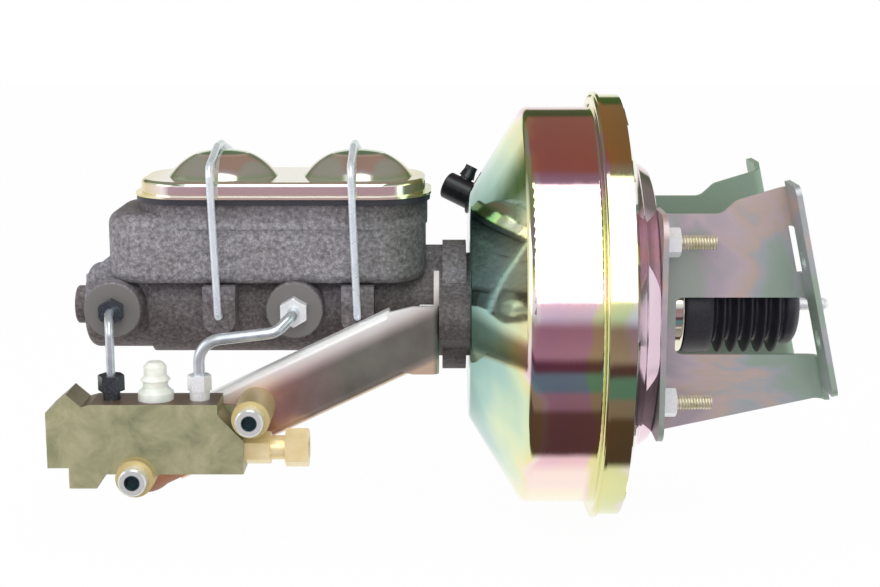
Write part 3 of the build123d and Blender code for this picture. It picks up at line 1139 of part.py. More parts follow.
def bail(x):
    """A wire bail over one dome: hooked into both lugs, up the sides and across, leaning forward."""
    shoulder_z = BAIL_TOP_Z - BAIL_SHOULDER_DROP
    half = [(LUG_FACE_Y - BAIL_HOOK_DEPTH, BAIL_PIVOT_Z), (BAIL_HALF_WIDTH, BAIL_PIVOT_Z),
            (BAIL_HALF_WIDTH, shoulder_z), (BAIL_SHOULDER_Y, shoulder_z + BAIL_SHOULDER_RISE),
            (BAIL_TOP_HALF, BAIL_TOP_Z)]
    points = [Vector(0, -y, z - BAIL_PIVOT_Z) for y, z in half]
    points += [Vector(0, -point.Y, point.Z) for point in reversed(points)]
    bends = [BAIL_HOOK_BEND, BAIL_CORNER, BAIL_TOP_BEND, BAIL_TOP_BEND]
    path = FilletPolyline(*points, radius=bends + bends[::-1])
    section = Plane(origin=path @ 0, z_dir=path % 0) * Circle(BAIL_RADIUS)
    return Pos(x, 0, BAIL_PIVOT_Z) * Rot(0, -BAIL_LEAN, 0) * sweep(section, path=path)


def brake_line(points, radii, diameter):
    """A steel tube along straight runs and tangent bends."""
    path = FilletPolyline(*[Vector(*point) for point in points], radius=radii)
    plane = Plane(origin=path @ 0, z_dir=path % 0)
    outside = sweep(plane * Circle(diameter / 2), path=path)
    inside = sweep(plane * Circle(diameter / 2 - LINE_WALL), path=path)
    return outside - inside


def front_line():
    start = PORT_FACE_Y + PORT_THREAD_DEPTH - TUBE_SEAT_LENGTH
    end = VALVE_TOP_Z - VALVE_THREAD_DEPTH + TUBE_SEAT_LENGTH
    points = ((FRONT_PORT_X, start, PORT_Z), (FRONT_PORT_X, FRONT_LINE_TURN_Y, PORT_Z),
              (VALVE_INLET_FRONT_X, VALVE_Y, PORT_Z - FRONT_LINE_DROP), (VALVE_INLET_FRONT_X, VALVE_Y, end))
    return brake_line(points, list(FRONT_LINE_BENDS), FRONT_LINE_DIAMETER)


def rear_line():
    """The rear line dips from its port, runs forward and drops into the valve."""
    start = PORT_FACE_Y + PORT_THREAD_DEPTH - TUBE_SEAT_LENGTH
    end = VALVE_TOP_Z - VALVE_THREAD_DEPTH + TUBE_SEAT_LENGTH
    points = ((REAR_PORT_X, start, PORT_Z), (REAR_PORT_X, REAR_LINE_TURN_Y, PORT_Z),
              (REAR_PORT_X - REAR_LINE_TURN, VALVE_Y, PORT_Z - REAR_LINE_DIP),
              (VALVE_INLET_REAR_X, VALVE_Y, REAR_LINE_CORNER_Z), (VALVE_INLET_REAR_X, VALVE_Y, end))
    return brake_line(points, list(REAR_LINE_BENDS), REAR_LINE_DIAMETER)


def port_nut(x, flats, thread, line):
    """Tube nut screwed into an outlet boss."""
    face = PORT_FACE_Y
    head = hex_nut((x, face, PORT_Z), (x, face - TUBE_NUT_HEX, PORT_Z), flats)
    shank = rod((x, face, PORT_Z), (x, face + PORT_THREAD_DEPTH - TUBE_SEAT_LENGTH, PORT_Z), thread)
    outer_end = (x, face - TUBE_NUT_HEX - CUT, PORT_Z)
    bore = rod(outer_end, (x, face + PORT_THREAD_DEPTH, PORT_Z), line / 2 + RUNNING_FIT)
    return head + shank - bore


def valve_nut(x, flats, thread, line):
    """Tube nut screwed into the top of the valve, with some thread showing."""
    bottom = VALVE_TOP_Z - VALVE_THREAD_DEPTH + TUBE_SEAT_LENGTH
    seat = VALVE_TOP_Z + VALVE_NUT_STAND
    head = hex_nut((x, VALVE_Y, seat), (x, VALVE_Y, seat + VALVE_NUT_HEX), flats)
    shank = rod((x, VALVE_Y, bottom), (x, VALVE_Y, seat), thread)
    top = seat + VALVE_NUT_HEX + CUT
    bore = rod((x, VALVE_Y, bottom - CUT), (x, VALVE_Y, top), line / 2 + RUNNING_FIT)
    return head + shank - bore


def tube_seats():
    """Brass cone seats pressed into the two outlet ports."""
    seats = []
    for x, thread, line in ((FRONT_PORT_X, FRONT_NUT_THREAD_RADIUS, FRONT_LINE_DIAMETER),
                            (REAR_PORT_X, REAR_NUT_THREAD_RADIUS, REAR_LINE_DIAMETER)):
        back = PORT_FACE_Y + PORT_THREAD_DEPTH
        length = TUBE_SEAT_LENGTH - SEAT_GAP
        seat = rod((x, back, PORT_Z), (x, back - length, PORT_Z), thread - SEAT_GAP)
        passage = rod((x, back + CUT, PORT_Z), (x, back - length - CUT, PORT_Z), PORT_PASSAGE_RADIUS)
        seats.append(seat - passage)
    return seats


def valve_block():
    """The brass combination valve body with its lugs, bore, inlets and outlets."""
    outline = ((VALVE_FRONT_X, PEAK_FRONT_Z), (PEAK_X, PEAK_Z), (PEAK_BACK_X, PEAK_BACK_Z),
               (VALVE_TOP_START_X, VALVE_TOP_Z), (VALVE_SHOULDER_X, VALVE_TOP_Z),
               (VALVE_SHOULDER_X, VALVE_SHOULDER_Z), (VALVE_REAR_X, VALVE_SLOPE_Z),
               (VALVE_REAR_X, VALVE_BOTTOM_Z), (FOOT_REAR_X, VALVE_BOTTOM_Z), (FOOT_CORNER_X, FOOT_Z),
               (PEAK_X, FOOT_Z), (PEAK_X, FOOT_STEP_Z), (VALVE_FRONT_X, FOOT_STEP_Z))
    face = Plane(origin=(0, VALVE_BACK_Y, 0), x_dir=(1, 0, 0), z_dir=(0, -1, 0))
    block = extrude(face * make_face(Polyline(*outline, close=True)), VALVE_DEPTH)
    lug_face = VALVE_FACE_Y - VALVE_LUG_STAND
    for x, z in VALVE_BOLTS:
        block += rod((x, VALVE_BACK_Y, z), (x, lug_face, z), VALVE_LUG_RADIUS)
    web_outline = ((VALVE_SHOULDER_X, VALVE_SHOULDER_Z), (VALVE_BOLT_UPPER_X, VALVE_BOLT_UPPER_Z),
                   (VALVE_BOLT_UPPER_X + VALVE_LUG_RADIUS - SINK, VALVE_BOLT_UPPER_Z),
                   (VALVE_REAR_X, VALVE_LUG_WEB_LOW_Z), (VALVE_REAR_X - SINK, VALVE_LUG_WEB_LOW_Z))
    block += extrude(face * make_face(Polyline(*web_outline, close=True)), VALVE_LUG_WEB)
    for x, z in VALVE_BOLTS:
        block -= rod((x, VALVE_BACK_Y + CUT, z), (x, lug_face - CUT, z), VALVE_BOLT_HOLE)
    block -= rod((VALVE_REAR_X + CUT, VALVE_Y, VALVE_BORE_Z), (VALVE_BORE_END_X, VALVE_Y, VALVE_BORE_Z),
                 VALVE_BORE_RADIUS)
    threads = ((VALVE_INLET_FRONT_X, FRONT_NUT_THREAD_RADIUS), (VALVE_INLET_REAR_X, REAR_NUT_THREAD_RADIUS),
               (SWITCH_X, SWITCH_THREAD_RADIUS))
    for x, radius in threads:
        thread_end = (x, VALVE_Y, VALVE_TOP_Z - VALVE_THREAD_DEPTH)
        block -= rod((x, VALVE_Y, VALVE_TOP_Z + CUT), thread_end, radius + RUNNING_FIT)
        block -= rod((x, VALVE_Y, VALVE_TOP_Z), (x, VALVE_Y, VALVE_BORE_Z), VALVE_PASSAGE_RADIUS)
    inward = slanted_outlet_direction()
    mouth = Vector((VALVE_FRONT_X + PEAK_X) / 2, VALVE_Y, (PEAK_FRONT_Z + PEAK_Z) / 2)
    block -= rod(tuple(mouth - inward * CUT), tuple(mouth + inward * OUTLET_DEPTH), OUTLET_RADIUS)
    block -= rod(tuple(mouth), tuple(mouth + inward * SLANTED_PASSAGE_LENGTH), VALVE_PASSAGE_RADIUS)
    foot_x = (PEAK_X + FOOT_CORNER_X) / 2
    block -= rod((foot_x, VALVE_Y, FOOT_Z - CUT), (foot_x, VALVE_Y, FOOT_Z + OUTLET_DEPTH), OUTLET_RADIUS)
    block -= rod((foot_x, VALVE_Y, FOOT_Z), (foot_x, VALVE_Y, VALVE_BORE_Z), VALVE_PASSAGE_RADIUS)
    return block


def slanted_outlet_direction():
    """Unit vector into the block, square to the slanted face at its front upper corner."""
    rise = PEAK_Z - PEAK_FRONT_Z
    run = PEAK_X - VALVE_FRONT_X
    slant = math.hypot(rise, run)
    return Vector(rise / slant, 0, -run / slant)


def end_fitting():
    """Brass end fitting: hexagon against the block, neck, outlet nut, and a spigot in the bore."""
    y, z = VALVE_Y, VALVE_BORE_Z
    hexagon = hex_nut((VALVE_REAR_X, y, z), (FITTING_HEX_END_X, y, z), FITTING_HEX_FLATS)
    neck = rod((FITTING_HEX_END_X, y, z), (FITTING_NECK_END_X, y, z), FITTING_NECK_RADIUS)
    nut = hex_nut((FITTING_NECK_END_X, y, z), (FITTING_END_X, y, z), FITTING_NUT_FLATS)
    spigot_end = VALVE_REAR_X - FITTING_SPIGOT_LENGTH
    spigot = rod((VALVE_REAR_X, y, z), (spigot_end, y, z), VALVE_BORE_RADIUS - RUNNING_FIT)
    outlet_end = (FITTING_END_X - FITTING_OUTLET_DEPTH, y, z)
    outlet = rod((FITTING_END_X + CUT, y, z), outlet_end, FITTING_OUTLET_RADIUS)
    passage = rod((FITTING_END_X, y, z), (spigot_end - CUT, y, z), VALVE_PASSAGE_RADIUS)
    return hexagon + neck + nut + spigot - outlet - passage


def valve_spool(start, end, waist):
    """A small piston in the valve's bore, with a waist between its two lands."""
    radius = VALVE_BORE_RADIUS - RUNNING_FIT
    land = (end - start) * SPOOL_LAND_SHARE
    y, z = VALVE_Y, VALVE_BORE_Z
    return (rod((start, y, z), (start + land, y, z), radius) + rod((start, y, z), (end, y, z), waist)
            + rod((end - land, y, z), (end, y, z), radius))


def metering_valve():
    return valve_spool(METERING_START_X, METERING_START_X + METERING_LENGTH, METERING_WAIST_RADIUS)


def warning_shuttle():
    half = SHUTTLE_LENGTH / 2
    return valve_spool(SWITCH_X - half, SWITCH_X + half, SHUTTLE_WAIST_RADIUS)


def proportioning_piston():
    return valve_spool(PROPORTIONING_START_X, PROPORTIONING_END_X, PROPORTIONING_WAIST_RADIUS)


def proportioning_spring():
    coil = spring(PROPORTIONING_END_X + SEAT_GAP, VALVE_REAR_X - FITTING_SPIGOT_LENGTH - SEAT_GAP,
                  PROPORTIONING_SPRING_RADIUS, PROPORTIONING_SPRING_WIRE, VALVE_SPRING_TURNS)
    return Pos(0, VALVE_Y, VALVE_BORE_Z) * coil


def warning_switch():
    """White nylon switch: threaded stem, flange, waist, flare and a domed terminal end."""
    section = ((0, -SWITCH_THREAD_LENGTH), (SWITCH_THREAD_RADIUS, -SWITCH_THREAD_LENGTH),
               (SWITCH_THREAD_RADIUS, 0), (SWITCH_FLANGE_RADIUS, 0),
               (SWITCH_FLANGE_RADIUS, SWITCH_FLANGE_HEIGHT), (SWITCH_WAIST_RADIUS, SWITCH_WAIST_Z),
               (SWITCH_WAIST_RADIUS, SWITCH_FLARE_START_Z), (SWITCH_FLARE_RADIUS, SWITCH_FLARE_Z),
               (SWITCH_DOME_RADIUS, SWITCH_FLARE_END_Z), (SWITCH_DOME_RADIUS, SWITCH_SHOULDER_Z),
               (SWITCH_TIP_RADIUS, SWITCH_TIP_Z), (0, SWITCH_HEIGHT))
    profile = make_face(Polyline(*section, close=True))
    return Pos(SWITCH_X, VALVE_Y, VALVE_TOP_Z) * revolve(Plane.XZ * profile, Axis.Z)


def valve_bolts():
    """Two socket head bolts through the valve's lugs and the bracket."""
    seat = VALVE_FACE_Y - VALVE_LUG_STAND
    tail = CHANNEL_BACK_Y + VALVE_BOLT_NUT_HEIGHT + VALVE_BOLT_TAIL
    bolts = []
    for x, z in VALVE_BOLTS:
        shank = rod((x, seat, z), (x, tail, z), VALVE_BOLT_DIAMETER / 2)
        head = rod((x, seat, z), (x, seat - VALVE_BOLT_HEAD_HEIGHT, z), VALVE_BOLT_HEAD_RADIUS)
        head = chamfer_outer_edge(head, (x, seat - VALVE_BOLT_HEAD_HEIGHT, z), EDGE_CHAMFER)
        plane = Plane(origin=(x, seat - VALVE_BOLT_HEAD_HEIGHT, z), z_dir=(0, 1, 0))
        socket = extrude(plane * RegularPolygon(VALVE_BOLT_SOCKET_FLATS / 2, 6, major_radius=False),
                         VALVE_BOLT_SOCKET_DEPTH)
        bolts.append(shank + head - socket)
    return bolts


def valve_bolt_nuts():
    bore = VALVE_BOLT_DIAMETER / 2 + RUNNING_FIT
    return [hex_nut((x, CHANNEL_BACK_Y, z), (x, CHANNEL_BACK_Y + VALVE_BOLT_NUT_HEIGHT, z),
                    VALVE_BOLT_NUT_FLATS, bore) for x, z in VALVE_BOLTS]


def valve_bracket():
    """Channel shaped arm with its lips turned away, a head plate, and the ear under the near nut."""
    run = CHANNEL_RISE_X - VALVE_BOLT_LOWER_X
    rise = CHANNEL_RISE_Z - VALVE_BOLT_LOWER_Z
    length = math.hypot(run, rise)
    arm = Plane(origin=(VALVE_BOLT_LOWER_X, VALVE_BACK_Y, VALVE_BOLT_LOWER_Z),
                x_dir=(run / length, 0, rise / length), z_dir=(0, -1, 0))
    depth = CHANNEL_SHEET + CHANNEL_LIP
    half = CHANNEL_HALF_WIDTH
    strip_length = length - CHANNEL_START
    block = arm * Pos(CHANNEL_START + strip_length / 2, 0, -depth / 2) * Box(strip_length, 2 * half, depth)
    along = Axis((0, 0, 0), arm.x_dir)
    front_edges = block.edges().filter_by(along).group_by(Axis.Y)[0]
    block = fillet(front_edges, CHANNEL_BEND)
    inner = half - CHANNEL_SHEET
    hollow = arm * Pos(CHANNEL_START + strip_length / 2, 0, -depth / 2 - CHANNEL_SHEET) * Box(
        strip_length + CUT, 2 * inner, depth)
    hollow = fillet(hollow.edges().filter_by(along).group_by(Axis.Y)[0], CHANNEL_BEND - CHANNEL_SHEET)
    channel = block - hollow
    end = extrude(arm * Circle(half - CHANNEL_END_STEP), -CHANNEL_SHEET)
    bridge = arm * Pos(CHANNEL_START / 2, 0, -CHANNEL_SHEET / 2) * Box(
        CHANNEL_START + 2 * SINK, 2 * (half - SINK), CHANNEL_SHEET)
    head_outline = ((CHANNEL_NOTCH_X, CHANNEL_RISE_Z - inner), (CHANNEL_NOTCH_X, CHANNEL_RISE_Z + inner),
                    (CHANNEL_HEAD_START_X, CHANNEL_HEAD_TOP_Z), (EAR_FACE_X, CHANNEL_HEAD_TOP_Z),
                    (EAR_FACE_X, CHANNEL_HEAD_BOTTOM_Z), (CHANNEL_HEAD_START_X, CHANNEL_HEAD_BOTTOM_Z))
    face = Plane(origin=(0, VALVE_BACK_Y, 0), x_dir=(1, 0, 0), z_dir=(0, -1, 0))
    head = extrude(face * make_face(Polyline(*head_outline, close=True)), -CHANNEL_SHEET)
    ear_outline = ((VALVE_BACK_Y, CHANNEL_HEAD_BOTTOM_Z), (VALVE_BACK_Y, CHANNEL_HEAD_TOP_Z),
                   (VALVE_BACK_Y + CHANNEL_BEND + SINK, CHANNEL_HEAD_TOP_Z),
                   (EAR_INNER_Y, EAR_TIP_Z), (EAR_INNER_Y, EAR_SHOULDER_Z), (EAR_STEP_Y, 0),
                   (EAR_STEP_Y, CHANNEL_HEAD_BOTTOM_Z))
    ear_plane = Plane(origin=(EAR_FACE_X, 0, 0), x_dir=(0, 1, 0), z_dir=(1, 0, 0))
    ear = extrude(ear_plane * make_face(Polyline(*ear_outline, close=True)), -CHANNEL_SHEET)
    bracket = channel + end + bridge + head + ear
    corner = bracket.edges().filter_by(Axis.Z).sort_by_distance(
        (EAR_FACE_X, VALVE_BACK_Y, (CHANNEL_HEAD_TOP_Z + CHANNEL_HEAD_BOTTOM_Z) / 2))[0]
    bracket = fillet(corner, CHANNEL_BEND)
    hole_start = (EAR_FACE_X - 2 * CUT, -FRONT_STUD_Y, 0)
    bracket -= rod(hole_start, (EAR_FACE_X + CUT, -FRONT_STUD_Y, 0), FRONT_STUD_HOLE)
    for x, z in VALVE_BOLTS:
        bracket -= rod((x, VALVE_BACK_Y - CUT, z), (x, CHANNEL_BACK_Y + CUT, z), VALVE_BOLT_HOLE)
    return bracket


os.makedirs("parts", exist_ok=True)
bracket_left = firewall_bracket()
save("front_shell", front_shell())
save("rear_shell", rear_shell())
save("diaphragm_plate", diaphragm_plate())
save("diaphragm", diaphragm())
save("diaphragm_lock_ring", lock_ring())
save("valve_body", valve_body())
save("reaction_disc", reaction_disc())
save("output_rod", output_rod())
save("return_spring", return_spring())
save("pushrod", pushrod())
save("air_valve_plunger", plunger())
save("poppet", poppet())
save("poppet_retainer", poppet_retainer())
save("poppet_spring", poppet_spring())
save("rod_return_spring", rod_spring())
save("air_filter", air_filter())
save("boot", boot())
save("neck_seal", neck_seal())
save("seal_retainer", seal_retainer())
save("front_seal", front_seal())
save("rear_studs", *rear_studs())
save("rear_washers", *rear_washers())
save("rear_nuts", *rear_nuts())
save("front_studs", *front_studs())
save("master_nuts", *master_nuts())
save("firewall_bracket_left", bracket_left)
save("firewall_bracket_right", mirror(bracket_left, about=Plane.XZ))
save("check_valve_grommet", check_grommet())
save("check_valve_body", check_valve_body())
save("check_valve_disc", check_disc())
save("check_valve_spring", check_spring())
save("master_cylinder_body", master_body())
save("primary_piston", primary_piston())
save("primary_cups", *piston_cups(PRIMARY_PISTON_BACK_X, PRIMARY_PISTON_LENGTH))
save("primary_spring", primary_spring())
save("secondary_piston", secondary_piston())
save("secondary_cups", *piston_cups(SECONDARY_PISTON_BACK_X, SECONDARY_PISTON_LENGTH))
save("secondary_spring", secondary_spring())
save("snap_ring", snap_ring())
save("reservoir_cover", cover())
save("cover_gasket", cover_gasket())
save("bail_front", bail(BAIL_FRONT_X))
save("bail_rear", bail(BAIL_REAR_X))
save("tube_seats", *tube_seats())
save("front_brake_line", front_line())
save("rear_brake_line", rear_line())
front_sizes = (FRONT_NUT_THREAD_RADIUS, FRONT_LINE_DIAMETER)
rear_sizes = (REAR_NUT_THREAD_RADIUS, REAR_LINE_DIAMETER)
save("front_port_nut", port_nut(FRONT_PORT_X, FRONT_PORT_NUT_FLATS, *front_sizes))
save("rear_port_nut", port_nut(REAR_PORT_X, REAR_PORT_NUT_FLATS, *rear_sizes))
save("front_valve_nut", valve_nut(VALVE_INLET_FRONT_X, FRONT_VALVE_NUT_FLATS, *front_sizes))
save("rear_valve_nut", valve_nut(VALVE_INLET_REAR_X, REAR_VALVE_NUT_FLATS, *rear_sizes))
save("combination_valve_body", valve_block())
save("valve_end_fitting", end_fitting())
save("metering_valve", metering_valve())
save("warning_shuttle", warning_shuttle())
save("proportioning_piston", proportioning_piston())
save("proportioning_spring", proportioning_spring())
save("warning_switch", warning_switch())
save("valve_bolts", *valve_bolts())
save("valve_bolt_nuts", *valve_bolt_nuts())
save("valve_bracket", valve_bracket())
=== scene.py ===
import math

import bpy
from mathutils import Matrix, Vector


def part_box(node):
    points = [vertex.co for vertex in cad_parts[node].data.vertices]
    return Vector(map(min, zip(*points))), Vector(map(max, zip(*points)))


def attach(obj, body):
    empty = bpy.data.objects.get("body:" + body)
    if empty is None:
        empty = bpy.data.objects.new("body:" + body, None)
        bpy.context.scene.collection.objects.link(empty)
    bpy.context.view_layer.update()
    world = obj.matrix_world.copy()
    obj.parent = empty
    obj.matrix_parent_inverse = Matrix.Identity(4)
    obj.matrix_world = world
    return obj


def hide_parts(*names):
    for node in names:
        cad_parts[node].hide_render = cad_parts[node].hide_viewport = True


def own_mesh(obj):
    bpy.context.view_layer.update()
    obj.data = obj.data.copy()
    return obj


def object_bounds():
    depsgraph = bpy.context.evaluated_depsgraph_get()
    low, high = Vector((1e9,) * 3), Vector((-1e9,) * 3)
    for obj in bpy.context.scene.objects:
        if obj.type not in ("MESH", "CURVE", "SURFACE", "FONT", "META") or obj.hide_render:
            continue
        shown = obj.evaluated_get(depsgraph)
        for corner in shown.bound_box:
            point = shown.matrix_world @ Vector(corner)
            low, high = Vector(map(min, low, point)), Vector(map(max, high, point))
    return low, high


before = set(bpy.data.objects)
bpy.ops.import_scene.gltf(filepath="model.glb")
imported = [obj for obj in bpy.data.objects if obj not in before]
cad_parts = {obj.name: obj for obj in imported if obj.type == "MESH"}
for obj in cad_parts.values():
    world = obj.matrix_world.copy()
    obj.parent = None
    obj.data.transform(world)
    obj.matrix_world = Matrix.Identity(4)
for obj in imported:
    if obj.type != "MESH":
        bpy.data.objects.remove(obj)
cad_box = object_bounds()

# The photograph is taken with a long lens from the valve's side, a little above the booster's axis.
# The lens has a focal length of 1620 pixels on a picture 880 pixels wide.
PICTURE_WIDTH_PX = 880
FOCAL_LENGTH_PX = 1620
SENSOR_WIDTH_MM = 36
CAMERA_PLACE = (-0.2087, -0.9260, 0.1862)
CAMERA_PITCH = 11

camera_data = bpy.data.cameras.new("camera")
camera_data.sensor_width = SENSOR_WIDTH_MM
camera_data.lens = SENSOR_WIDTH_MM * FOCAL_LENGTH_PX / PICTURE_WIDTH_PX
camera = bpy.data.objects.new("camera", camera_data)
camera.location = CAMERA_PLACE
camera.rotation_euler = (math.radians(90 - CAMERA_PITCH), 0, 0)
bpy.context.scene.collection.objects.link(camera)
bpy.context.scene.camera = camera
bpy.context.scene.view_settings.view_transform = "Standard"


# The studio is a white room. Bright plating mirrors it as bands, listed by their angle in degrees: 0 is
# level towards the camera, 90 overhead and 180 level behind the object. The bands overhead are mauve,
# brown and olive, those below the camera mauve, grey blue and dark, and the rest are nearly white.
def linear(code):
    """A colour written as an sRGB hex value, in linear light."""
    channels = [int(code[i:i + 2], 16) / 255 for i in (1, 3, 5)]
    return [c / 12.92 if c <= 0.04045 else ((c + 0.055) / 1.055) ** 2.4 for c in channels] + [1.0]


def add_node(tree, kind, inputs=None, stops=None, **settings):
    """A shader node with its settings, the stops of its ramp, and a value or a link for each input."""
    made = tree.nodes.new(kind)
    for name, value in settings.items():
        setattr(made, name, value)
    for name, value in (inputs or {}).items():
        if isinstance(value, bpy.types.NodeSocket):
            tree.links.new(value, made.inputs[name])
        else:
            made.inputs[name].default_value = value
    if stops:
        ramp = made.color_ramp.elements
        while len(ramp) < len(stops):
            ramp.new(1.0)
        for element, (place, code) in zip(ramp, stops):
            element.position = place
            element.color = linear(code)
    return made


ROOM_GLOW = 0.75
STUDIO_BANDS = ((-180, "#ffffff"), (-87, "#fffaf6"), (-82, "#54403c"), (-53, "#5a443f"), (-49, "#87727a"),
                (-41, "#8a757d"), (-38, "#5f7f88"), (-29, "#62828a"), (-26, "#5a3a46"), (-22, "#5d3e4a"),
                (-18, "#a58c97"), (-2, "#967a86"), (4, "#d0dbe6"), (12, "#f2eef2"), (20, "#ffffff"),
                (80.5, "#ffffff"), (82.5, "#887d89"), (89, "#88707a"), (92, "#8a5e4e"), (146, "#8a6855"),
                (151, "#485a38"), (163, "#50623c"), (167, "#f4f4ec"), (180, "#ffffff"))
# The bands overhead are narrow. The ceiling to both sides of them is grey, and the side walls are white.
CEILING_COLOUR = "#7c8076"
CEILING_SIDEWAYS = (0.26, 0.38)
CEILING_UPWARDS = (0.25, 0.5)
SIDE_WALL_COLOUR = "#f3f4f4"
SIDE_WALL_SIDEWAYS = (0.72, 0.88)
world = bpy.data.worlds.new("white_studio")
bpy.context.scene.world = world
world.use_nodes = True
studio = world.node_tree
studio.nodes.clear()
gaze = add_node(studio, "ShaderNodeTexCoord")
parts = add_node(studio, "ShaderNodeSeparateXYZ", {"Vector": gaze.outputs["Generated"]})
towards = add_node(studio, "ShaderNodeMath", {0: parts.outputs["Y"], 1: -1.0}, operation="MULTIPLY")
height = add_node(studio, "ShaderNodeMath", {0: parts.outputs["Z"], 1: towards.outputs[0]},
                  operation="ARCTAN2")
turn = add_node(studio, "ShaderNodeMapRange", {"Value": height.outputs[0], "From Min": -math.pi,
                                               "From Max": math.pi})
bands = add_node(studio, "ShaderNodeValToRGB", {"Fac": turn.outputs["Result"]},
                 stops=[((angle + 180) / 360, code) for angle, code in STUDIO_BANDS])
sideways = add_node(studio, "ShaderNodeMath", {0: parts.outputs["X"]}, operation="ABSOLUTE")
past_bands = add_node(studio, "ShaderNodeMapRange", {"Value": sideways.outputs[0],
                                                     "From Min": CEILING_SIDEWAYS[0],
                                                     "From Max": CEILING_SIDEWAYS[1]})
overhead = add_node(studio, "ShaderNodeMapRange", {"Value": parts.outputs["Z"],
                                                   "From Min": CEILING_UPWARDS[0],
                                                   "From Max": CEILING_UPWARDS[1]})
beside = add_node(studio, "ShaderNodeMath", {0: past_bands.outputs["Result"], 1: overhead.outputs["Result"]},
                  operation="MULTIPLY")
ceiling = add_node(studio, "ShaderNodeMix", {"Factor": beside.outputs[0], "A": bands.outputs["Color"],
                                             "B": linear(CEILING_COLOUR)}, data_type="RGBA")
side_wall = add_node(studio, "ShaderNodeMapRange", {"Value": sideways.outputs[0],
                                                    "From Min": SIDE_WALL_SIDEWAYS[0],
                                                    "From Max": SIDE_WALL_SIDEWAYS[1]})
mirrored = add_node(studio, "ShaderNodeMix", {"Factor": side_wall.outputs["Result"],
                                              "A": ceiling.outputs["Result"],
                                              "B": linear(SIDE_WALL_COLOUR)}, data_type="RGBA")
rays = add_node(studio, "ShaderNodeLightPath")
plain = add_node(studio, "ShaderNodeMix", {"Factor": rays.outputs["Is Glossy Ray"],
                                           "A": (ROOM_GLOW, ROOM_GLOW, ROOM_GLOW, 1.0),
                                           "B": mirrored.outputs["Result"]}, data_type="RGBA")
seen = add_node(studio, "ShaderNodeMath", {0: rays.outputs["Is Camera Ray"],
                                           1: rays.outputs["Is Transmission Ray"]}, operation="MAXIMUM")
shown = add_node(studio, "ShaderNodeMix", {"Factor": seen.outputs[0], "A": plain.outputs["Result"],
                                           "B": (1.0, 1.0, 1.0, 1.0)}, data_type="RGBA")
glow = add_node(studio, "ShaderNodeBackground", {"Color": shown.outputs["Result"], "Strength": 1.0})
add_node(studio, "ShaderNodeOutputWorld", {"Surface": glow.outputs[0]})

# A large softbox stands above the camera and lights the near side; a weaker one fills from the left.
# Both are aimed at the middle of the object.
OBJECT_MIDDLE = (-0.2, 0.0, 0.0)
SOFTBOXES = (("key_softbox", (-0.2, -1.045, 1.075), (0.9, 2.0), 11.5),
             ("left_softbox", (-1.5, -0.6, 0.5), (0.9, 0.9), 3.0))
for name, place, (width, depth), power in SOFTBOXES:
    lamp_data = bpy.data.lights.new(name, "AREA")
    lamp_data.shape = "RECTANGLE"
    lamp_data.size = width
    lamp_data.size_y = depth
    lamp_data.energy = power
    lamp = bpy.data.objects.new(name, lamp_data)
    lamp.location = place
    aim = Vector(OBJECT_MIDDLE) - Vector(place)
    lamp.rotation_euler = aim.to_track_quat("-Z", "Y").to_euler()
    lamp.visible_camera = False
    bpy.context.scene.collection.objects.link(lamp)

# The floor is a sheet of white paper just under the booster's rim. The camera sees it nearly as white as
# the background, with a very faint shadow of the object left in it.
FLOOR_GAP = 0.002
FLOOR_SIZE = 8.0
PAPER_COLOUR = "#f4f4f4"
WHITE_SHARE = 0.97
bpy.ops.object.select_all(action="DESELECT")
bpy.ops.mesh.primitive_plane_add(size=FLOOR_SIZE, location=(OBJECT_MIDDLE[0], 0.0, cad_box[0].z - FLOOR_GAP))
floor = bpy.context.object
floor.name = "floor"
floor.visible_glossy = False
paper = bpy.data.materials.new("pale_paper")
paper.use_nodes = True
tree = paper.node_tree
tree.nodes.clear()
rays = add_node(tree, "ShaderNodeLightPath")
matte = add_node(tree, "ShaderNodeBsdfDiffuse", {"Color": linear(PAPER_COLOUR)})
white = add_node(tree, "ShaderNodeEmission", {"Color": (1.0, 1.0, 1.0, 1.0), "Strength": 1.0})
share = add_node(tree, "ShaderNodeMath", {0: rays.outputs["Is Camera Ray"], 1: WHITE_SHARE},
                 operation="MULTIPLY")
both = add_node(tree, "ShaderNodeMixShader", {"Fac": share.outputs[0], 1: matte.outputs[0],
                                              2: white.outputs[0]})
add_node(tree, "ShaderNodeOutputMaterial", {"Surface": both.outputs[0]})
floor.data.materials.append(paper)


# The two booster shells are deep drawn from 1.5 mm sheet steel, then plated with bright zinc and
# passivated in yellow chromate. The film is thin enough to show colours, which change along the shell.
# Low on the drum a painted reflection makes it paler. Fine lines run round the drum from the drawing.
def start_material(name):
    """A new material's tree and its shader, with the object's own coordinates in metres."""
    made = bpy.data.materials.new(name)
    made.use_nodes = True
    tree = made.node_tree
    tree.nodes.clear()
    shader = add_node(tree, "ShaderNodeBsdfPrincipled")
    add_node(tree, "ShaderNodeOutputMaterial", {"Surface": shader.outputs[0]})
    place = add_node(tree, "ShaderNodeTexCoord").outputs["Object"]
    return made, tree, shader, place


def dress(material, *names):
    """Gives a material to CAD nodes."""
    for name in names:
        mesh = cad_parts[name].data
        mesh.materials.clear()
        mesh.materials.append(material)


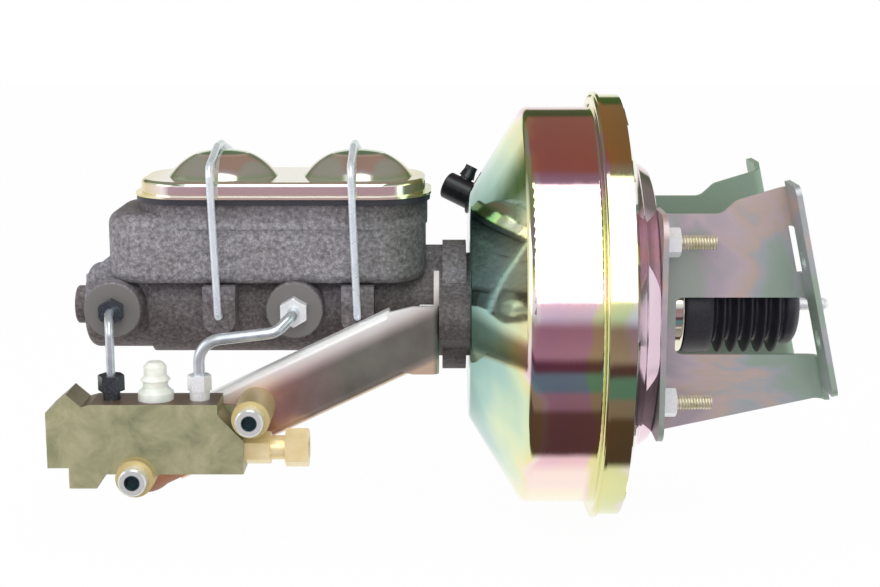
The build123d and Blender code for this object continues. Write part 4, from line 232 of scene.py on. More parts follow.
MM = 0.001
FILM_STOPS = ((-193.0, "#8ab3ab"), (-181.0, "#aed2c7"), (-170.0, "#dcedc6"), (-163.5, "#f3ecb4"),
              (-161.0, "#f7e9e4"), (-157.0, "#f0cbd6"), (-150.0, "#ecc6d4"), (-140.0, "#efc8cf"),
              (-128.0, "#efcbd2"), (-124.5, "#e9e2a4"), (-118.0, "#dfe3a4"), (-109.0, "#d9dfa8"),
              (-103.0, "#e6dce2"), (-98.0, "#efd8e4"), (-92.0, "#ebd0de"), (-86.0, "#e6d6df"),
              (-76.0, "#f1efdc"), (-57.0, "#efeadf"))
FILM_START, FILM_END = FILM_STOPS[0][0], FILM_STOPS[-1][0]
FILM_PATCH_MM = 45.0
FILM_DRIFT_MM = 7.0
DRUM_FRONT_MM = (-166, -158)
DRUM_REAR_MM = (-126, -130)
PAINTED_REFLECTION_TOP_MM = (-68, -76)
PAINTED_REFLECTION_DEPTH_MM = (-110, -70)
DRAW_LINE_MM = 0.9
DRAW_LINE_LENGTH_MM = 100 / 3
# The dust in the plating is drawn far coarser than it is, so that it shows.
PLATING_DUST_MM = 0.35
SHELL_WAVE_MM = 18
shell_zinc, tree, shader, place = start_material("yellow_chromate_zinc_bright")
cloud = add_node(tree, "ShaderNodeTexNoise", {"Vector": place, "Scale": 1 / (FILM_PATCH_MM * MM),
                                              "Detail": 2.0})
axial = add_node(tree, "ShaderNodeSeparateXYZ", {"Vector": place})
drift = add_node(tree, "ShaderNodeMapRange", {"Value": cloud.outputs["Fac"], "From Min": 0.3, "From Max": 0.7,
                                              "To Min": -FILM_DRIFT_MM * MM, "To Max": FILM_DRIFT_MM * MM})
station = add_node(tree, "ShaderNodeMath", {0: axial.outputs["X"], 1: drift.outputs["Result"]},
                   operation="ADD")
along = add_node(tree, "ShaderNodeMapRange", {"Value": station.outputs[0], "From Min": FILM_START * MM,
                                              "From Max": FILM_END * MM})
film = add_node(tree, "ShaderNodeValToRGB", {"Fac": along.outputs["Result"]},
                stops=[((x - FILM_START) / (FILM_END - FILM_START), code) for x, code in FILM_STOPS])
behind_cone = add_node(tree, "ShaderNodeMapRange", {"Value": axial.outputs["X"],
                                                    "From Min": DRUM_FRONT_MM[0] * MM,
                                                    "From Max": DRUM_FRONT_MM[1] * MM})
# Low on the drum, between the cone and the rim, pale cream and pink are painted over the film: a painted
# reflection.
lower_side = add_node(tree, "ShaderNodeMapRange", {"Value": axial.outputs["Z"],
                                                   "From Min": PAINTED_REFLECTION_TOP_MM[0] * MM,
                                                   "From Max": PAINTED_REFLECTION_TOP_MM[1] * MM})
before_rim = add_node(tree, "ShaderNodeMapRange", {"Value": axial.outputs["X"],
                                                   "From Min": DRUM_REAR_MM[0] * MM,
                                                   "From Max": DRUM_REAR_MM[1] * MM})
on_drum = add_node(tree, "ShaderNodeMath", {0: behind_cone.outputs["Result"],
                                            1: before_rim.outputs["Result"]}, operation="MULTIPLY")
painted_reflection_mask = add_node(tree, "ShaderNodeMath", {0: on_drum.outputs[0], 1: lower_side.outputs["Result"]},
                   operation="MULTIPLY")
depth = add_node(tree, "ShaderNodeMapRange", {"Value": axial.outputs["Z"],
                                              "From Min": PAINTED_REFLECTION_DEPTH_MM[0] * MM,
                                              "From Max": PAINTED_REFLECTION_DEPTH_MM[1] * MM})
pale = add_node(tree, "ShaderNodeValToRGB", {"Fac": depth.outputs["Result"]},
                stops=((0.35, "#fdf6d8"), (0.6, "#fdeae3")))
film_with_painted_reflection = add_node(tree, "ShaderNodeMix", {"Factor": painted_reflection_mask.outputs[0], "A": film.outputs["Color"],
                                              "B": pale.outputs["Color"]}, data_type="RGBA")
around = 1 / (DRAW_LINE_LENGTH_MM * MM)
lines = add_node(tree, "ShaderNodeMapping", {"Vector": place,
                                             "Scale": (1 / (DRAW_LINE_MM * MM), around, around)})
drawing = add_node(tree, "ShaderNodeTexNoise", {"Vector": lines.outputs[0], "Scale": 1.0, "Detail": 3.0})
dust = add_node(tree, "ShaderNodeTexNoise", {"Vector": place, "Scale": 1 / (PLATING_DUST_MM * MM),
                                             "Detail": 2.0})
haze = add_node(tree, "ShaderNodeMath", {0: drawing.outputs["Fac"], 1: dust.outputs["Fac"]},
                operation="MULTIPLY")
rough = add_node(tree, "ShaderNodeMapRange", {"Value": haze.outputs[0], "From Min": 0.1, "From Max": 0.5,
                                              "To Min": 0.05, "To Max": 0.12})
wave = add_node(tree, "ShaderNodeTexNoise", {"Vector": place, "Scale": 1 / (SHELL_WAVE_MM * MM),
                                             "Detail": 1.0})
relief = add_node(tree, "ShaderNodeBump", {"Height": wave.outputs["Fac"], "Strength": 0.25,
                                           "Distance": 0.25 * MM})
shader.inputs["Metallic"].default_value = 1.0
tree.links.new(film_with_painted_reflection.outputs["Result"], shader.inputs["Base Color"])
tree.links.new(rough.outputs["Result"], shader.inputs["Roughness"])
tree.links.new(relief.outputs[0], shader.inputs["Normal"])
dress(shell_zinc, "front_shell", "rear_shell")

# The firewall brackets are pressed from 3 mm steel and barrel plated, so their chromate is satin:
# pink and mauve beside the booster, then tan, grey and green towards the firewall, with fine speckle.
# The bracket on the far side is greener all over.
BRACKET_PATCH_MM = 55.0
# The speckle is drawn coarser than it is, so that it shows.
BRACKET_GRAIN_MM = 0.5
BRACKET_FILM_MM = (-85, -5)
FAR_SIDE_MM = 20
FAR_BRACKET_COLOUR = "#93ab97"
bracket_zinc, tree, shader, place = start_material("yellow_chromate_zinc_satin")
cloud = add_node(tree, "ShaderNodeTexNoise", {"Vector": place, "Scale": 1 / (BRACKET_PATCH_MM * MM),
                                              "Detail": 3.0, "Roughness": 0.6, "Distortion": 0.8})
axial = add_node(tree, "ShaderNodeSeparateXYZ", {"Vector": place})
along = add_node(tree, "ShaderNodeMapRange", {"Value": axial.outputs["X"],
                                              "From Min": BRACKET_FILM_MM[0] * MM,
                                              "From Max": BRACKET_FILM_MM[1] * MM,
                                              "To Min": -0.06, "To Max": 0.26})
spread = add_node(tree, "ShaderNodeMath", {0: cloud.outputs["Fac"], 1: along.outputs["Result"]},
                  operation="ADD")
film = add_node(tree, "ShaderNodeValToRGB", {"Fac": spread.outputs[0]},
                stops=((0.34, "#a9b3ab"), (0.42, "#bdb2bd"), (0.50, "#cbbcc2"), (0.58, "#ccb9b0"),
                       (0.66, "#b3b8bd"), (0.76, "#a2b6a8")))
grain = add_node(tree, "ShaderNodeTexNoise", {"Vector": place, "Scale": 1 / (BRACKET_GRAIN_MM * MM),
                                              "Detail": 2.0})
speckle = add_node(tree, "ShaderNodeMapRange", {"Value": grain.outputs["Fac"], "From Min": 0.3,
                                                "From Max": 0.7, "To Min": 0.88, "To Max": 1.08})
far_side = add_node(tree, "ShaderNodeMapRange", {"Value": axial.outputs["Y"], "From Min": 0.0,
                                                 "From Max": FAR_SIDE_MM * MM})
greener = add_node(tree, "ShaderNodeMix", {"Factor": far_side.outputs["Result"], "A": film.outputs["Color"],
                                           "B": linear(FAR_BRACKET_COLOUR)}, data_type="RGBA")
shade = add_node(tree, "ShaderNodeMix", {"Factor": 1.0, "A": greener.outputs["Result"],
                                         "B": speckle.outputs["Result"]}, data_type="RGBA",
                 blend_type="MULTIPLY")
rough = add_node(tree, "ShaderNodeMapRange", {"Value": grain.outputs["Fac"], "From Min": 0.3,
                                              "From Max": 0.7, "To Min": 0.34, "To Max": 0.48})
relief = add_node(tree, "ShaderNodeBump", {"Height": grain.outputs["Fac"], "Strength": 0.3,
                                           "Distance": 0.05 * MM})
shader.inputs["Metallic"].default_value = 0.45
tree.links.new(shade.outputs["Result"], shader.inputs["Base Color"])
tree.links.new(rough.outputs["Result"], shader.inputs["Roughness"])
tree.links.new(relief.outputs[0], shader.inputs["Normal"])
dress(bracket_zinc, "firewall_bracket_left", "firewall_bracket_right")

# The washers, most of the nuts and the pushrod are formed steel in clear zinc, which is bright and
# bluish white with a faint mottle. The mottle is drawn coarser than it is, so that it shows.
ZINC_MOTTLE_MM = 0.8
clear_zinc, tree, shader, place = start_material("clear_zinc_bright")
grain = add_node(tree, "ShaderNodeTexNoise", {"Vector": place, "Scale": 1 / (ZINC_MOTTLE_MM * MM),
                                              "Detail": 2.0})
tint = add_node(tree, "ShaderNodeValToRGB", {"Fac": grain.outputs["Fac"]},
                stops=((0.3, "#e4e9ee"), (0.7, "#fafbfc")))
rough = add_node(tree, "ShaderNodeMapRange", {"Value": grain.outputs["Fac"], "To Min": 0.16, "To Max": 0.3})
shader.inputs["Metallic"].default_value = 0.28
tree.links.new(tint.outputs["Color"], shader.inputs["Base Color"])
tree.links.new(rough.outputs["Result"], shader.inputs["Roughness"])
dress(clear_zinc, "rear_washers", "rear_nuts", "master_nuts", "valve_bolt_nuts", "rear_port_nut",
      "rear_valve_nut", "pushrod")

# The four rear studs are steel with rolled threads of 1.6 mm pitch, and stand in the rear shell. Their
# yellow zinc gives a pale gold. The two front studs have the same plating and stay plain bars.
STUD_PATCH_MM = 9
yellow_zinc, tree, shader, place = start_material("yellow_chromate_zinc_thread")
cloud = add_node(tree, "ShaderNodeTexNoise", {"Vector": place, "Scale": 1 / (STUD_PATCH_MM * MM),
                                              "Detail": 2.0})
tint = add_node(tree, "ShaderNodeValToRGB", {"Fac": cloud.outputs["Fac"]},
                stops=((0.3, "#d2c8a6"), (0.5, "#e2dcc2"), (0.7, "#d8cdbd")))
shader.inputs["Metallic"].default_value = 0.6
shader.inputs["Roughness"].default_value = 0.28
tree.links.new(tint.outputs["Color"], shader.inputs["Base Color"])


def screw_thread(name, length, radius, pitch, steps=28):
    """A threaded bar that stands on the origin along Z, with flat closed ends."""
    depth = 0.6 * pitch
    bpy.ops.object.select_all(action="DESELECT")
    bpy.ops.mesh.primitive_plane_add(size=pitch, location=(radius - depth, 0, -pitch / 2),
                                     rotation=(math.radians(90), 0, 0))
    bar = bpy.context.object
    bar.name = name
    bpy.ops.object.transform_apply(location=True, rotation=True, scale=True)
    bpy.ops.object.mode_set(mode="EDIT")
    bpy.ops.mesh.select_all(action="DESELECT")
    bpy.ops.object.mode_set(mode="OBJECT")
    for vertex in bar.data.vertices:
        vertex.select = vertex.co.x > radius - depth
    bpy.ops.object.mode_set(mode="EDIT")
    bpy.ops.mesh.delete(type="VERT")
    bpy.ops.mesh.select_all(action="SELECT")
    bpy.ops.mesh.subdivide(number_cuts=3)
    bpy.ops.mesh.select_all(action="DESELECT")
    bpy.ops.object.mode_set(mode="OBJECT")
    for vertex in bar.data.vertices:
        vertex.select = abs(vertex.co.z + pitch / 2) < pitch / 3
    bpy.ops.object.mode_set(mode="EDIT")
    bpy.ops.transform.translate(value=(depth, 0, 0))
    bpy.ops.object.mode_set(mode="OBJECT")
    helix = bar.modifiers.new("helix", "SCREW")
    helix.angle = math.radians(360)
    helix.screw_offset = pitch
    helix.steps = steps
    helix.render_steps = steps
    helix.iterations = round(length / pitch) + 2
    helix.use_merge_vertices = True
    helix.merge_threshold = 0.001 * MM
    bpy.ops.object.modifier_apply(modifier="helix")
    bpy.ops.object.mode_set(mode="EDIT")
    for height, lower in ((0.0, True), (length, False)):
        bpy.ops.mesh.select_all(action="SELECT")
        bpy.ops.mesh.bisect(plane_co=(0, 0, height), plane_no=(0, 0, 1), use_fill=True, clear_inner=lower,
                            clear_outer=not lower, threshold=1e-7)
    bpy.ops.mesh.select_all(action="SELECT")
    bpy.ops.mesh.normals_make_consistent(inside=False)
    bpy.ops.object.mode_set(mode="OBJECT")
    return bar


def place_piece(piece, rotation, location):
    """Turns and moves a finished piece, and leaves its object untransformed at the origin."""
    bpy.ops.object.select_all(action="DESELECT")
    piece.select_set(True)
    bpy.context.view_layer.objects.active = piece
    piece.rotation_euler = rotation
    piece.location = location
    bpy.ops.object.transform_apply(location=True, rotation=True, scale=True)


def join_pieces(name, pieces):
    """Joins pieces into one, as a node with several solids is."""
    bpy.ops.object.select_all(action="DESELECT")
    for piece in pieces:
        piece.select_set(True)
    bpy.context.view_layer.objects.active = pieces[0]
    bpy.ops.object.join()
    pieces[0].name = name
    return pieces[0]


STUD_PITCH_MM = 1.59
STUD_RADIUS_MM = 4.75
# The studs' collars reach furthest, so the axes lie a collar's radius inside the corners of their box.
STUD_COLLAR_MM = 6.8
stud_low, stud_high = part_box("rear_studs")
stud_y = stud_high.y - STUD_COLLAR_MM * MM
stud_z = stud_high.z - STUD_COLLAR_MM * MM
studs = []
for side in (-1, 1):
    for level in (-1, 1):
        stud = screw_thread("stud", stud_high.x - stud_low.x, STUD_RADIUS_MM * MM, STUD_PITCH_MM * MM)
        place_piece(stud, (0, math.radians(90), 0), (stud_low.x, side * stud_y, level * stud_z))
        studs.append(stud)
rear_studs = join_pieces("rear_studs_threaded", studs)
rear_studs.data.materials.append(yellow_zinc)
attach(rear_studs, "root")
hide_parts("rear_studs")
dress(yellow_zinc, "rear_studs", "front_studs")

# The master cylinder is grey iron cast in sand: the mould leaves a grain of under a millimetre. The
# faces of its port bosses are milled smooth. The cylinder under the reservoir is browner and darker, partly
# painted shade; the iron has a painted shadow under the cover's rim and is darker at its booster end.
# The sand's grain is drawn a little coarser than it is, so that it shows.
SAND_GRAIN_MM = 0.7
SAND_CLUMP_MM = 2.2
IRON_PATCH_MM = 40
IRON_HEIGHT_MM = (6, 64)
IRON_REAR_MM = (-262, -214)
BOSS_FACE_MM = -42.0
MILLED_DEPTH_MM = 0.15
MILLED_COLOUR = "#747170"
cast_iron, tree, shader, place = start_material("grey_iron_sand_cast")
grain = add_node(tree, "ShaderNodeTexNoise", {"Vector": place, "Scale": 1 / (SAND_GRAIN_MM * MM),
                                              "Detail": 4.0, "Roughness": 0.65})
clump = add_node(tree, "ShaderNodeTexNoise", {"Vector": place, "Scale": 1 / (SAND_CLUMP_MM * MM),
                                              "Detail": 2.0})
cloud = add_node(tree, "ShaderNodeTexNoise", {"Vector": place, "Scale": 1 / (IRON_PATCH_MM * MM),
                                              "Detail": 3.0})
speck = add_node(tree, "ShaderNodeMath", {0: grain.outputs["Fac"], 1: clump.outputs["Fac"]},
                 operation="MULTIPLY")
tint = add_node(tree, "ShaderNodeValToRGB", {"Fac": speck.outputs[0]},
                stops=((0.12, "#696668"), (0.20, "#828085"), (0.28, "#96949a"), (0.40, "#b9b7bb")))
patch = add_node(tree, "ShaderNodeValToRGB", {"Fac": cloud.outputs["Fac"]},
                 stops=((0.3, "#dcd8d2"), (0.7, "#fafaff")))
shade = add_node(tree, "ShaderNodeMix", {"Factor": 1.0, "A": tint.outputs["Color"],
                                         "B": patch.outputs["Color"]}, data_type="RGBA",
                 blend_type="MULTIPLY")
axial = add_node(tree, "ShaderNodeSeparateXYZ", {"Vector": place})
level = add_node(tree, "ShaderNodeMapRange", {"Value": axial.outputs["Z"],
                                              "From Min": IRON_HEIGHT_MM[0] * MM,
                                              "From Max": IRON_HEIGHT_MM[1] * MM})
# Painted shade by height: browner and darker low down under the reservoir, and a painted shadow of the
# cover's rim high up.
under = add_node(tree, "ShaderNodeValToRGB", {"Fac": level.outputs["Result"]},
                 stops=((0.0, "#c9c0bc"), (0.31, "#ffffff"), (0.80, "#ffffff"), (0.90, "#d6d2d2"),
                        (1.0, "#c8c4c4")))
shade = add_node(tree, "ShaderNodeMix", {"Factor": 1.0, "A": shade.outputs["Result"],
                                         "B": under.outputs["Color"]}, data_type="RGBA",
                 blend_type="MULTIPLY")
along = add_node(tree, "ShaderNodeMapRange", {"Value": axial.outputs["X"],
                                              "From Min": IRON_REAR_MM[0] * MM,
                                              "From Max": IRON_REAR_MM[1] * MM})
rear = add_node(tree, "ShaderNodeValToRGB", {"Fac": along.outputs["Result"]},
                stops=((0.0, "#ffffff"), (0.7, "#c9cdc2"), (1.0, "#d6d6d0")))
shade = add_node(tree, "ShaderNodeMix", {"Factor": 1.0, "A": shade.outputs["Result"],
                                         "B": rear.outputs["Color"]}, data_type="RGBA",
                 blend_type="MULTIPLY")
milled = add_node(tree, "ShaderNodeMath", {0: axial.outputs["Y"], 1: BOSS_FACE_MM * MM,
                                           2: MILLED_DEPTH_MM * MM}, operation="COMPARE")
faces = add_node(tree, "ShaderNodeMix", {"Factor": milled.outputs[0], "A": shade.outputs["Result"],
                                         "B": linear(MILLED_COLOUR)}, data_type="RGBA")
cast = add_node(tree, "ShaderNodeMath", {0: 1.0, 1: milled.outputs[0]}, operation="SUBTRACT")
height = add_node(tree, "ShaderNodeMath", {0: speck.outputs[0], 1: cast.outputs[0]}, operation="MULTIPLY")
relief = add_node(tree, "ShaderNodeBump", {"Height": height.outputs[0], "Strength": 0.6,
                                           "Distance": 0.3 * MM})
shader.inputs["Metallic"].default_value = 0.15
shader.inputs["Roughness"].default_value = 0.6
tree.links.new(faces.outputs["Result"], shader.inputs["Base Color"])
tree.links.new(relief.outputs[0], shader.inputs["Normal"])
dress(cast_iron, "master_cylinder_body")

# The reservoir cover is a stamping in bright chromate. Its film is cream on the lip and pink on the wall,
# green along the top edge, at the foot of the domes and on their caps. The yellow and green at its ends are
# painted highlights.
COVER_STOPS = ((0.0, "#f8f2da"), (2.0, "#f6eee2"), (3.2, "#f5e5e4"), (6.6, "#f5e5e4"), (8.2, "#b9c8ae"),
               (8.9, "#eae0d6"), (9.7, "#cfdcb8"), (12.0, "#e6dcd2"), (20.6, "#e2ded2"), (21.6, "#fffaf0"),
               (22.2, "#cbdac4"), (23.6, "#c2d2bc"))
COVER_HEIGHT_MM = COVER_STOPS[-1][0]
COVER_WAVE_MM = 16
cover_low, cover_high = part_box("reservoir_cover")
cover_zinc, tree, shader, place = start_material("pale_chromate_zinc_bright")
axial = add_node(tree, "ShaderNodeSeparateXYZ", {"Vector": place})
level = add_node(tree, "ShaderNodeMapRange", {"Value": axial.outputs["Z"], "From Min": cover_low.z,
                                              "From Max": cover_low.z + COVER_HEIGHT_MM * MM})
film = add_node(tree, "ShaderNodeValToRGB", {"Fac": level.outputs["Result"]},
                stops=[(z / COVER_HEIGHT_MM, code) for z, code in COVER_STOPS])
along = add_node(tree, "ShaderNodeMapRange", {"Value": axial.outputs["X"], "From Min": cover_low.x,
                                              "From Max": cover_high.x})
# The yellow at the rounded ends and the green at the far end are painted highlights on the corners.
ends = add_node(tree, "ShaderNodeValToRGB", {"Fac": along.outputs["Result"]},
                stops=((0.0, "#e6e1a0"), (0.05, "#efe9bd"), (0.11, "#ffffff"), (0.88, "#ffffff"),
                       (0.95, "#e9e4ac"), (1.0, "#bcd6aa")))
shade = add_node(tree, "ShaderNodeMix", {"Factor": 1.0, "A": film.outputs["Color"],
                                         "B": ends.outputs["Color"]}, data_type="RGBA",
                 blend_type="MULTIPLY")
wave = add_node(tree, "ShaderNodeTexNoise", {"Vector": place, "Scale": 1 / (COVER_WAVE_MM * MM),
                                             "Detail": 1.0})
relief = add_node(tree, "ShaderNodeBump", {"Height": wave.outputs["Fac"], "Strength": 0.25,
                                           "Distance": 0.25 * MM})
shader.inputs["Metallic"].default_value = 0.85
shader.inputs["Roughness"].default_value = 0.1
tree.links.new(shade.outputs["Result"], shader.inputs["Base Color"])
tree.links.new(relief.outputs[0], shader.inputs["Normal"])
dress(cover_zinc, "reservoir_cover")

# The cover gasket and the other seals are moulded black rubber, dull and very slightly blue, and are
# squeezed between the pieces that they seal. The rubber's grain is drawn coarser than it is.
RUBBER_GRAIN_MM = 0.6
black_rubber, tree, shader, place = start_material("black_moulded_rubber")
grain = add_node(tree, "ShaderNodeTexNoise", {"Vector": place, "Scale": 1 / (RUBBER_GRAIN_MM * MM),
                                              "Detail": 3.0})
tint = add_node(tree, "ShaderNodeValToRGB", {"Fac": grain.outputs["Fac"]},
                stops=((0.35, "#25252c"), (0.65, "#36363f")))
relief = add_node(tree, "ShaderNodeBump", {"Height": grain.outputs["Fac"], "Strength": 0.2,
                                           "Distance": 0.05 * MM})
shader.inputs["Roughness"].default_value = 0.45
tree.links.new(tint.outputs["Color"], shader.inputs["Base Color"])
tree.links.new(relief.outputs[0], shader.inputs["Normal"])
dress(black_rubber, "boot", "cover_gasket", "check_valve_grommet", "front_seal", "neck_seal", "diaphragm",
      "reaction_disc", "poppet", "check_valve_disc", "primary_cups", "secondary_cups")

# The boot is one rubber moulding: a plain collar stretched over the neck's spigot, five ridges, and a
# rounded tail whose mouth holds the pushrod.
def turn_on_lathe(name, stations, segments):
    """A closed turned piece about the X axis, from stations and radii of its wall, in millimetres."""
    bpy.ops.object.select_all(action="DESELECT")
    (x, radius), *others = stations
    bpy.ops.mesh.primitive_circle_add(vertices=segments, radius=radius * MM, location=(x * MM, 0, 0),
                                      rotation=(0, math.radians(90), 0))
    piece = bpy.context.object
    piece.name = name
    bpy.ops.object.mode_set(mode="EDIT")
    for next_x, next_radius in others:
        bpy.ops.mesh.extrude_edges_move(TRANSFORM_OT_translate={"value": ((next_x - x) * MM, 0, 0)})
        growth = next_radius / radius
        bpy.ops.transform.resize(value=(1, growth, growth), center_override=(next_x * MM, 0, 0))
        x, radius = next_x, next_radius
    bpy.ops.mesh.select_all(action="SELECT")
    bpy.ops.mesh.remove_doubles(threshold=0.001 * MM)
    bpy.ops.mesh.normals_make_consistent(inside=False)
    bpy.ops.object.mode_set(mode="OBJECT")
    bpy.ops.object.transform_apply(location=True, rotation=True, scale=True)
    return piece


boot_low, boot_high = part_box("boot")
BOOT_START = boot_low.x / MM
BOOT_TIP = boot_high.x / MM
COLLAR_END = BOOT_START + 15.8
RIDGE_PITCH = 7.75
FIRST_RIDGE = COLLAR_END + 6.16
RIDGE_COUNT = 5
BOOT_SEGMENTS = 64
VALLEY_RADIUS = 20.7
RIDGE_PROFILE = ((-0.36, 20.9), (-0.24, 23.2), (-0.13, 26.6), (-0.07, 27.9), (0.0, 28.3), (0.07, 27.9),
                 (0.13, 26.6), (0.24, 23.2), (0.36, 20.9))
wall = [(BOOT_START, 27.4), (BOOT_START + 0.6, 28.0), (COLLAR_END - 1.0, 28.0), (COLLAR_END, 27.5),
        (COLLAR_END + 0.9, 25.0), (COLLAR_END + 1.6, 21.8)]
for index in range(RIDGE_COUNT):
    ridge = FIRST_RIDGE + index * RIDGE_PITCH
    wall += [(ridge + share * RIDGE_PITCH, radius) for share, radius in RIDGE_PROFILE]
    wall.append((ridge + RIDGE_PITCH / 2, VALLEY_RADIUS))
wall += [(BOOT_TIP - 9.5, 22.0), (BOOT_TIP - 8.4, 23.2), (BOOT_TIP - 6.0, 23.5), (BOOT_TIP - 4.0, 22.6),
         (BOOT_TIP - 1.8, 20.2), (BOOT_TIP - 0.5, 16.6), (BOOT_TIP, 13.0), (BOOT_TIP, 9.0), (BOOT_TIP, 4.6),
         (BOOT_TIP - 0.4, 4.2), (BOOT_TIP - 2.8, 4.2), (BOOT_TIP - 3.2, 4.6), (BOOT_TIP - 3.4, 12.0),
         (BOOT_TIP - 5.4, 19.6), (BOOT_TIP - 10.4, 19.2), (COLLAR_END - 2.0, 19.0), (COLLAR_END - 3.2, 19.4),
         (COLLAR_END - 3.3, 25.0), (COLLAR_END - 3.9, 25.2), (BOOT_START + 0.3, 25.2), (BOOT_START, 25.5),
         (BOOT_START, 27.4)]
boot = turn_on_lathe("boot_bellows", wall, BOOT_SEGMENTS)
smooth = boot.modifiers.new("smooth", "SUBSURF")
smooth.levels = 1
smooth.render_levels = 1
bpy.ops.object.modifier_apply(modifier="smooth")
bpy.ops.object.shade_smooth()
boot.data.materials.append(black_rubber)
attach(boot, "root")
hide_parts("boot")
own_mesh(boot)

# The check valve and the diaphragm's lock ring are moulded in black glass-filled nylon, which is half
# glossy and very slightly cloudy. The valve is pushed into its grommet in the front shell.
NYLON_GRAIN_MM = 0.9
black_nylon, tree, shader, place = start_material("black_glass_filled_nylon")
grain = add_node(tree, "ShaderNodeTexNoise", {"Vector": place, "Scale": 1 / (NYLON_GRAIN_MM * MM),
                                              "Detail": 2.0})
tint = add_node(tree, "ShaderNodeValToRGB", {"Fac": grain.outputs["Fac"]},
                stops=((0.35, "#14161a"), (0.65, "#1e2126")))
rough = add_node(tree, "ShaderNodeMapRange", {"Value": grain.outputs["Fac"], "To Min": 0.22, "To Max": 0.38})
tree.links.new(tint.outputs["Color"], shader.inputs["Base Color"])
tree.links.new(rough.outputs["Result"], shader.inputs["Roughness"])
dress(black_nylon, "check_valve_body", "diaphragm_lock_ring")

# The power piston's valve body is moulded in brown phenolic, which is hard and half glossy. The air
# filter in it is a ring of grey felt, quite matt, with its fibres drawn coarser than they are.
PHENOLIC_CLOUD_MM = 5
FELT_FIBRE_MM = 0.7
phenolic, tree, shader, place = start_material("brown_phenolic")
cloud = add_node(tree, "ShaderNodeTexNoise", {"Vector": place, "Scale": 1 / (PHENOLIC_CLOUD_MM * MM),
                                              "Detail": 3.0})
tint = add_node(tree, "ShaderNodeValToRGB", {"Fac": cloud.outputs["Fac"]},
                stops=((0.3, "#3a2820"), (0.7, "#513a2e")))
shader.inputs["Roughness"].default_value = 0.35
tree.links.new(tint.outputs["Color"], shader.inputs["Base Color"])
dress(phenolic, "valve_body")
felt, tree, shader, place = start_material("grey_felt")
fibre = add_node(tree, "ShaderNodeTexNoise", {"Vector": place, "Scale": 1 / (FELT_FIBRE_MM * MM),
                                              "Detail": 5.0, "Distortion": 2.0})
tint = add_node(tree, "ShaderNodeValToRGB", {"Fac": fibre.outputs["Fac"]},
                stops=((0.3, "#6f7174"), (0.7, "#a3a5a6")))
relief = add_node(tree, "ShaderNodeBump", {"Height": fibre.outputs["Fac"], "Strength": 0.8,
                                           "Distance": 0.3 * MM})
shader.inputs["Roughness"].default_value = 0.95
tree.links.new(tint.outputs["Color"], shader.inputs["Base Color"])
tree.links.new(relief.outputs[0], shader.inputs["Normal"])
dress(felt, "air_filter")

# The bails are hard spring wire in bright clear zinc, bent cold and sprung into the casting's lugs. The
# brake lines are drawn steel tube in a greyer zinc, bent from port to port and held by tube nuts.
WIRE_PATCH_MM = 6
WIRE_AND_TUBE = (("clear_zinc_wire", 0.4, ("#dbe3ec", "#eaf0f6"), ("bail_front", "bail_rear")),
                 ("clear_zinc_drawn_tube", 0.7, ("#c3cbd2", "#dbe1e6"),
                  ("front_brake_line", "rear_brake_line")))
for name, metal, codes, nodes in WIRE_AND_TUBE:
    tube_zinc, tree, shader, place = start_material(name)
    grain = add_node(tree, "ShaderNodeTexNoise", {"Vector": place, "Scale": 1 / (WIRE_PATCH_MM * MM),
                                                  "Detail": 2.0})
    tint = add_node(tree, "ShaderNodeValToRGB", {"Fac": grain.outputs["Fac"]},
                    stops=((0.3, codes[0]), (0.7, codes[1])))
    rough = add_node(tree, "ShaderNodeMapRange", {"Value": grain.outputs["Fac"], "To Min": 0.24,
                                                  "To Max": 0.32})
    shader.inputs["Metallic"].default_value = metal
    tree.links.new(tint.outputs["Color"], shader.inputs["Base Color"])
    tree.links.new(rough.outputs["Result"], shader.inputs["Roughness"])
    dress(tube_zinc, *nodes)

# The two nuts of the front line are hex steel, screwed into their ports round the tube. They are
# blackened, which leaves a dark slate grey with a soft shine.
OXIDE_MOTTLE_MM = 1.2
black_oxide, tree, shader, place = start_material("black_oxide_steel")
grain = add_node(tree, "ShaderNodeTexNoise", {"Vector": place, "Scale": 1 / (OXIDE_MOTTLE_MM * MM),
                                              "Detail": 2.0})
tint = add_node(tree, "ShaderNodeValToRGB", {"Fac": grain.outputs["Fac"]},
                stops=((0.3, "#42474e"), (0.7, "#656c73")))
shader.inputs["Metallic"].default_value = 0.8
shader.inputs["Roughness"].default_value = 0.3
tree.links.new(tint.outputs["Color"], shader.inputs["Base Color"])
dress(black_oxide, "front_port_nut", "front_valve_nut")

# The valve's bolts are zinc plated socket screws, bright round the rim of the head; the dark teal in the
# socket is painted shade and a painted reflection. They go through the valve block and its bracket into nuts.
BOLT_HEAD_MM = 7.6
SOCKET_RIM_MM = (3.9, 4.7)
bolt_low, bolt_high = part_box("valve_bolts")
BOLT_AXES = ((bolt_high.x - BOLT_HEAD_MM * MM, 0.0, bolt_high.z - BOLT_HEAD_MM * MM),
             (bolt_low.x + BOLT_HEAD_MM * MM, 0.0, bolt_low.z + BOLT_HEAD_MM * MM))


def from_bolts(tree, place, near, far):
    """Nought within the near radius of a bolt's axis and one beyond the far radius, in millimetres."""
    flat = add_node(tree, "ShaderNodeVectorMath", {0: place, 1: (1.0, 0.0, 1.0)}, operation="MULTIPLY")
    first, second = [add_node(tree, "ShaderNodeVectorMath", {0: flat.outputs["Vector"], 1: axis},
                              operation="DISTANCE") for axis in BOLT_AXES]
    nearer = add_node(tree, "ShaderNodeMath", {0: first.outputs["Value"], 1: second.outputs["Value"]},
                      operation="MINIMUM")
    return add_node(tree, "ShaderNodeMapRange", {"Value": nearer.outputs[0], "From Min": near * MM,
                                                 "From Max": far * MM}).outputs["Result"]


socket_steel, tree, shader, place = start_material("zinc_plated_socket_screw")
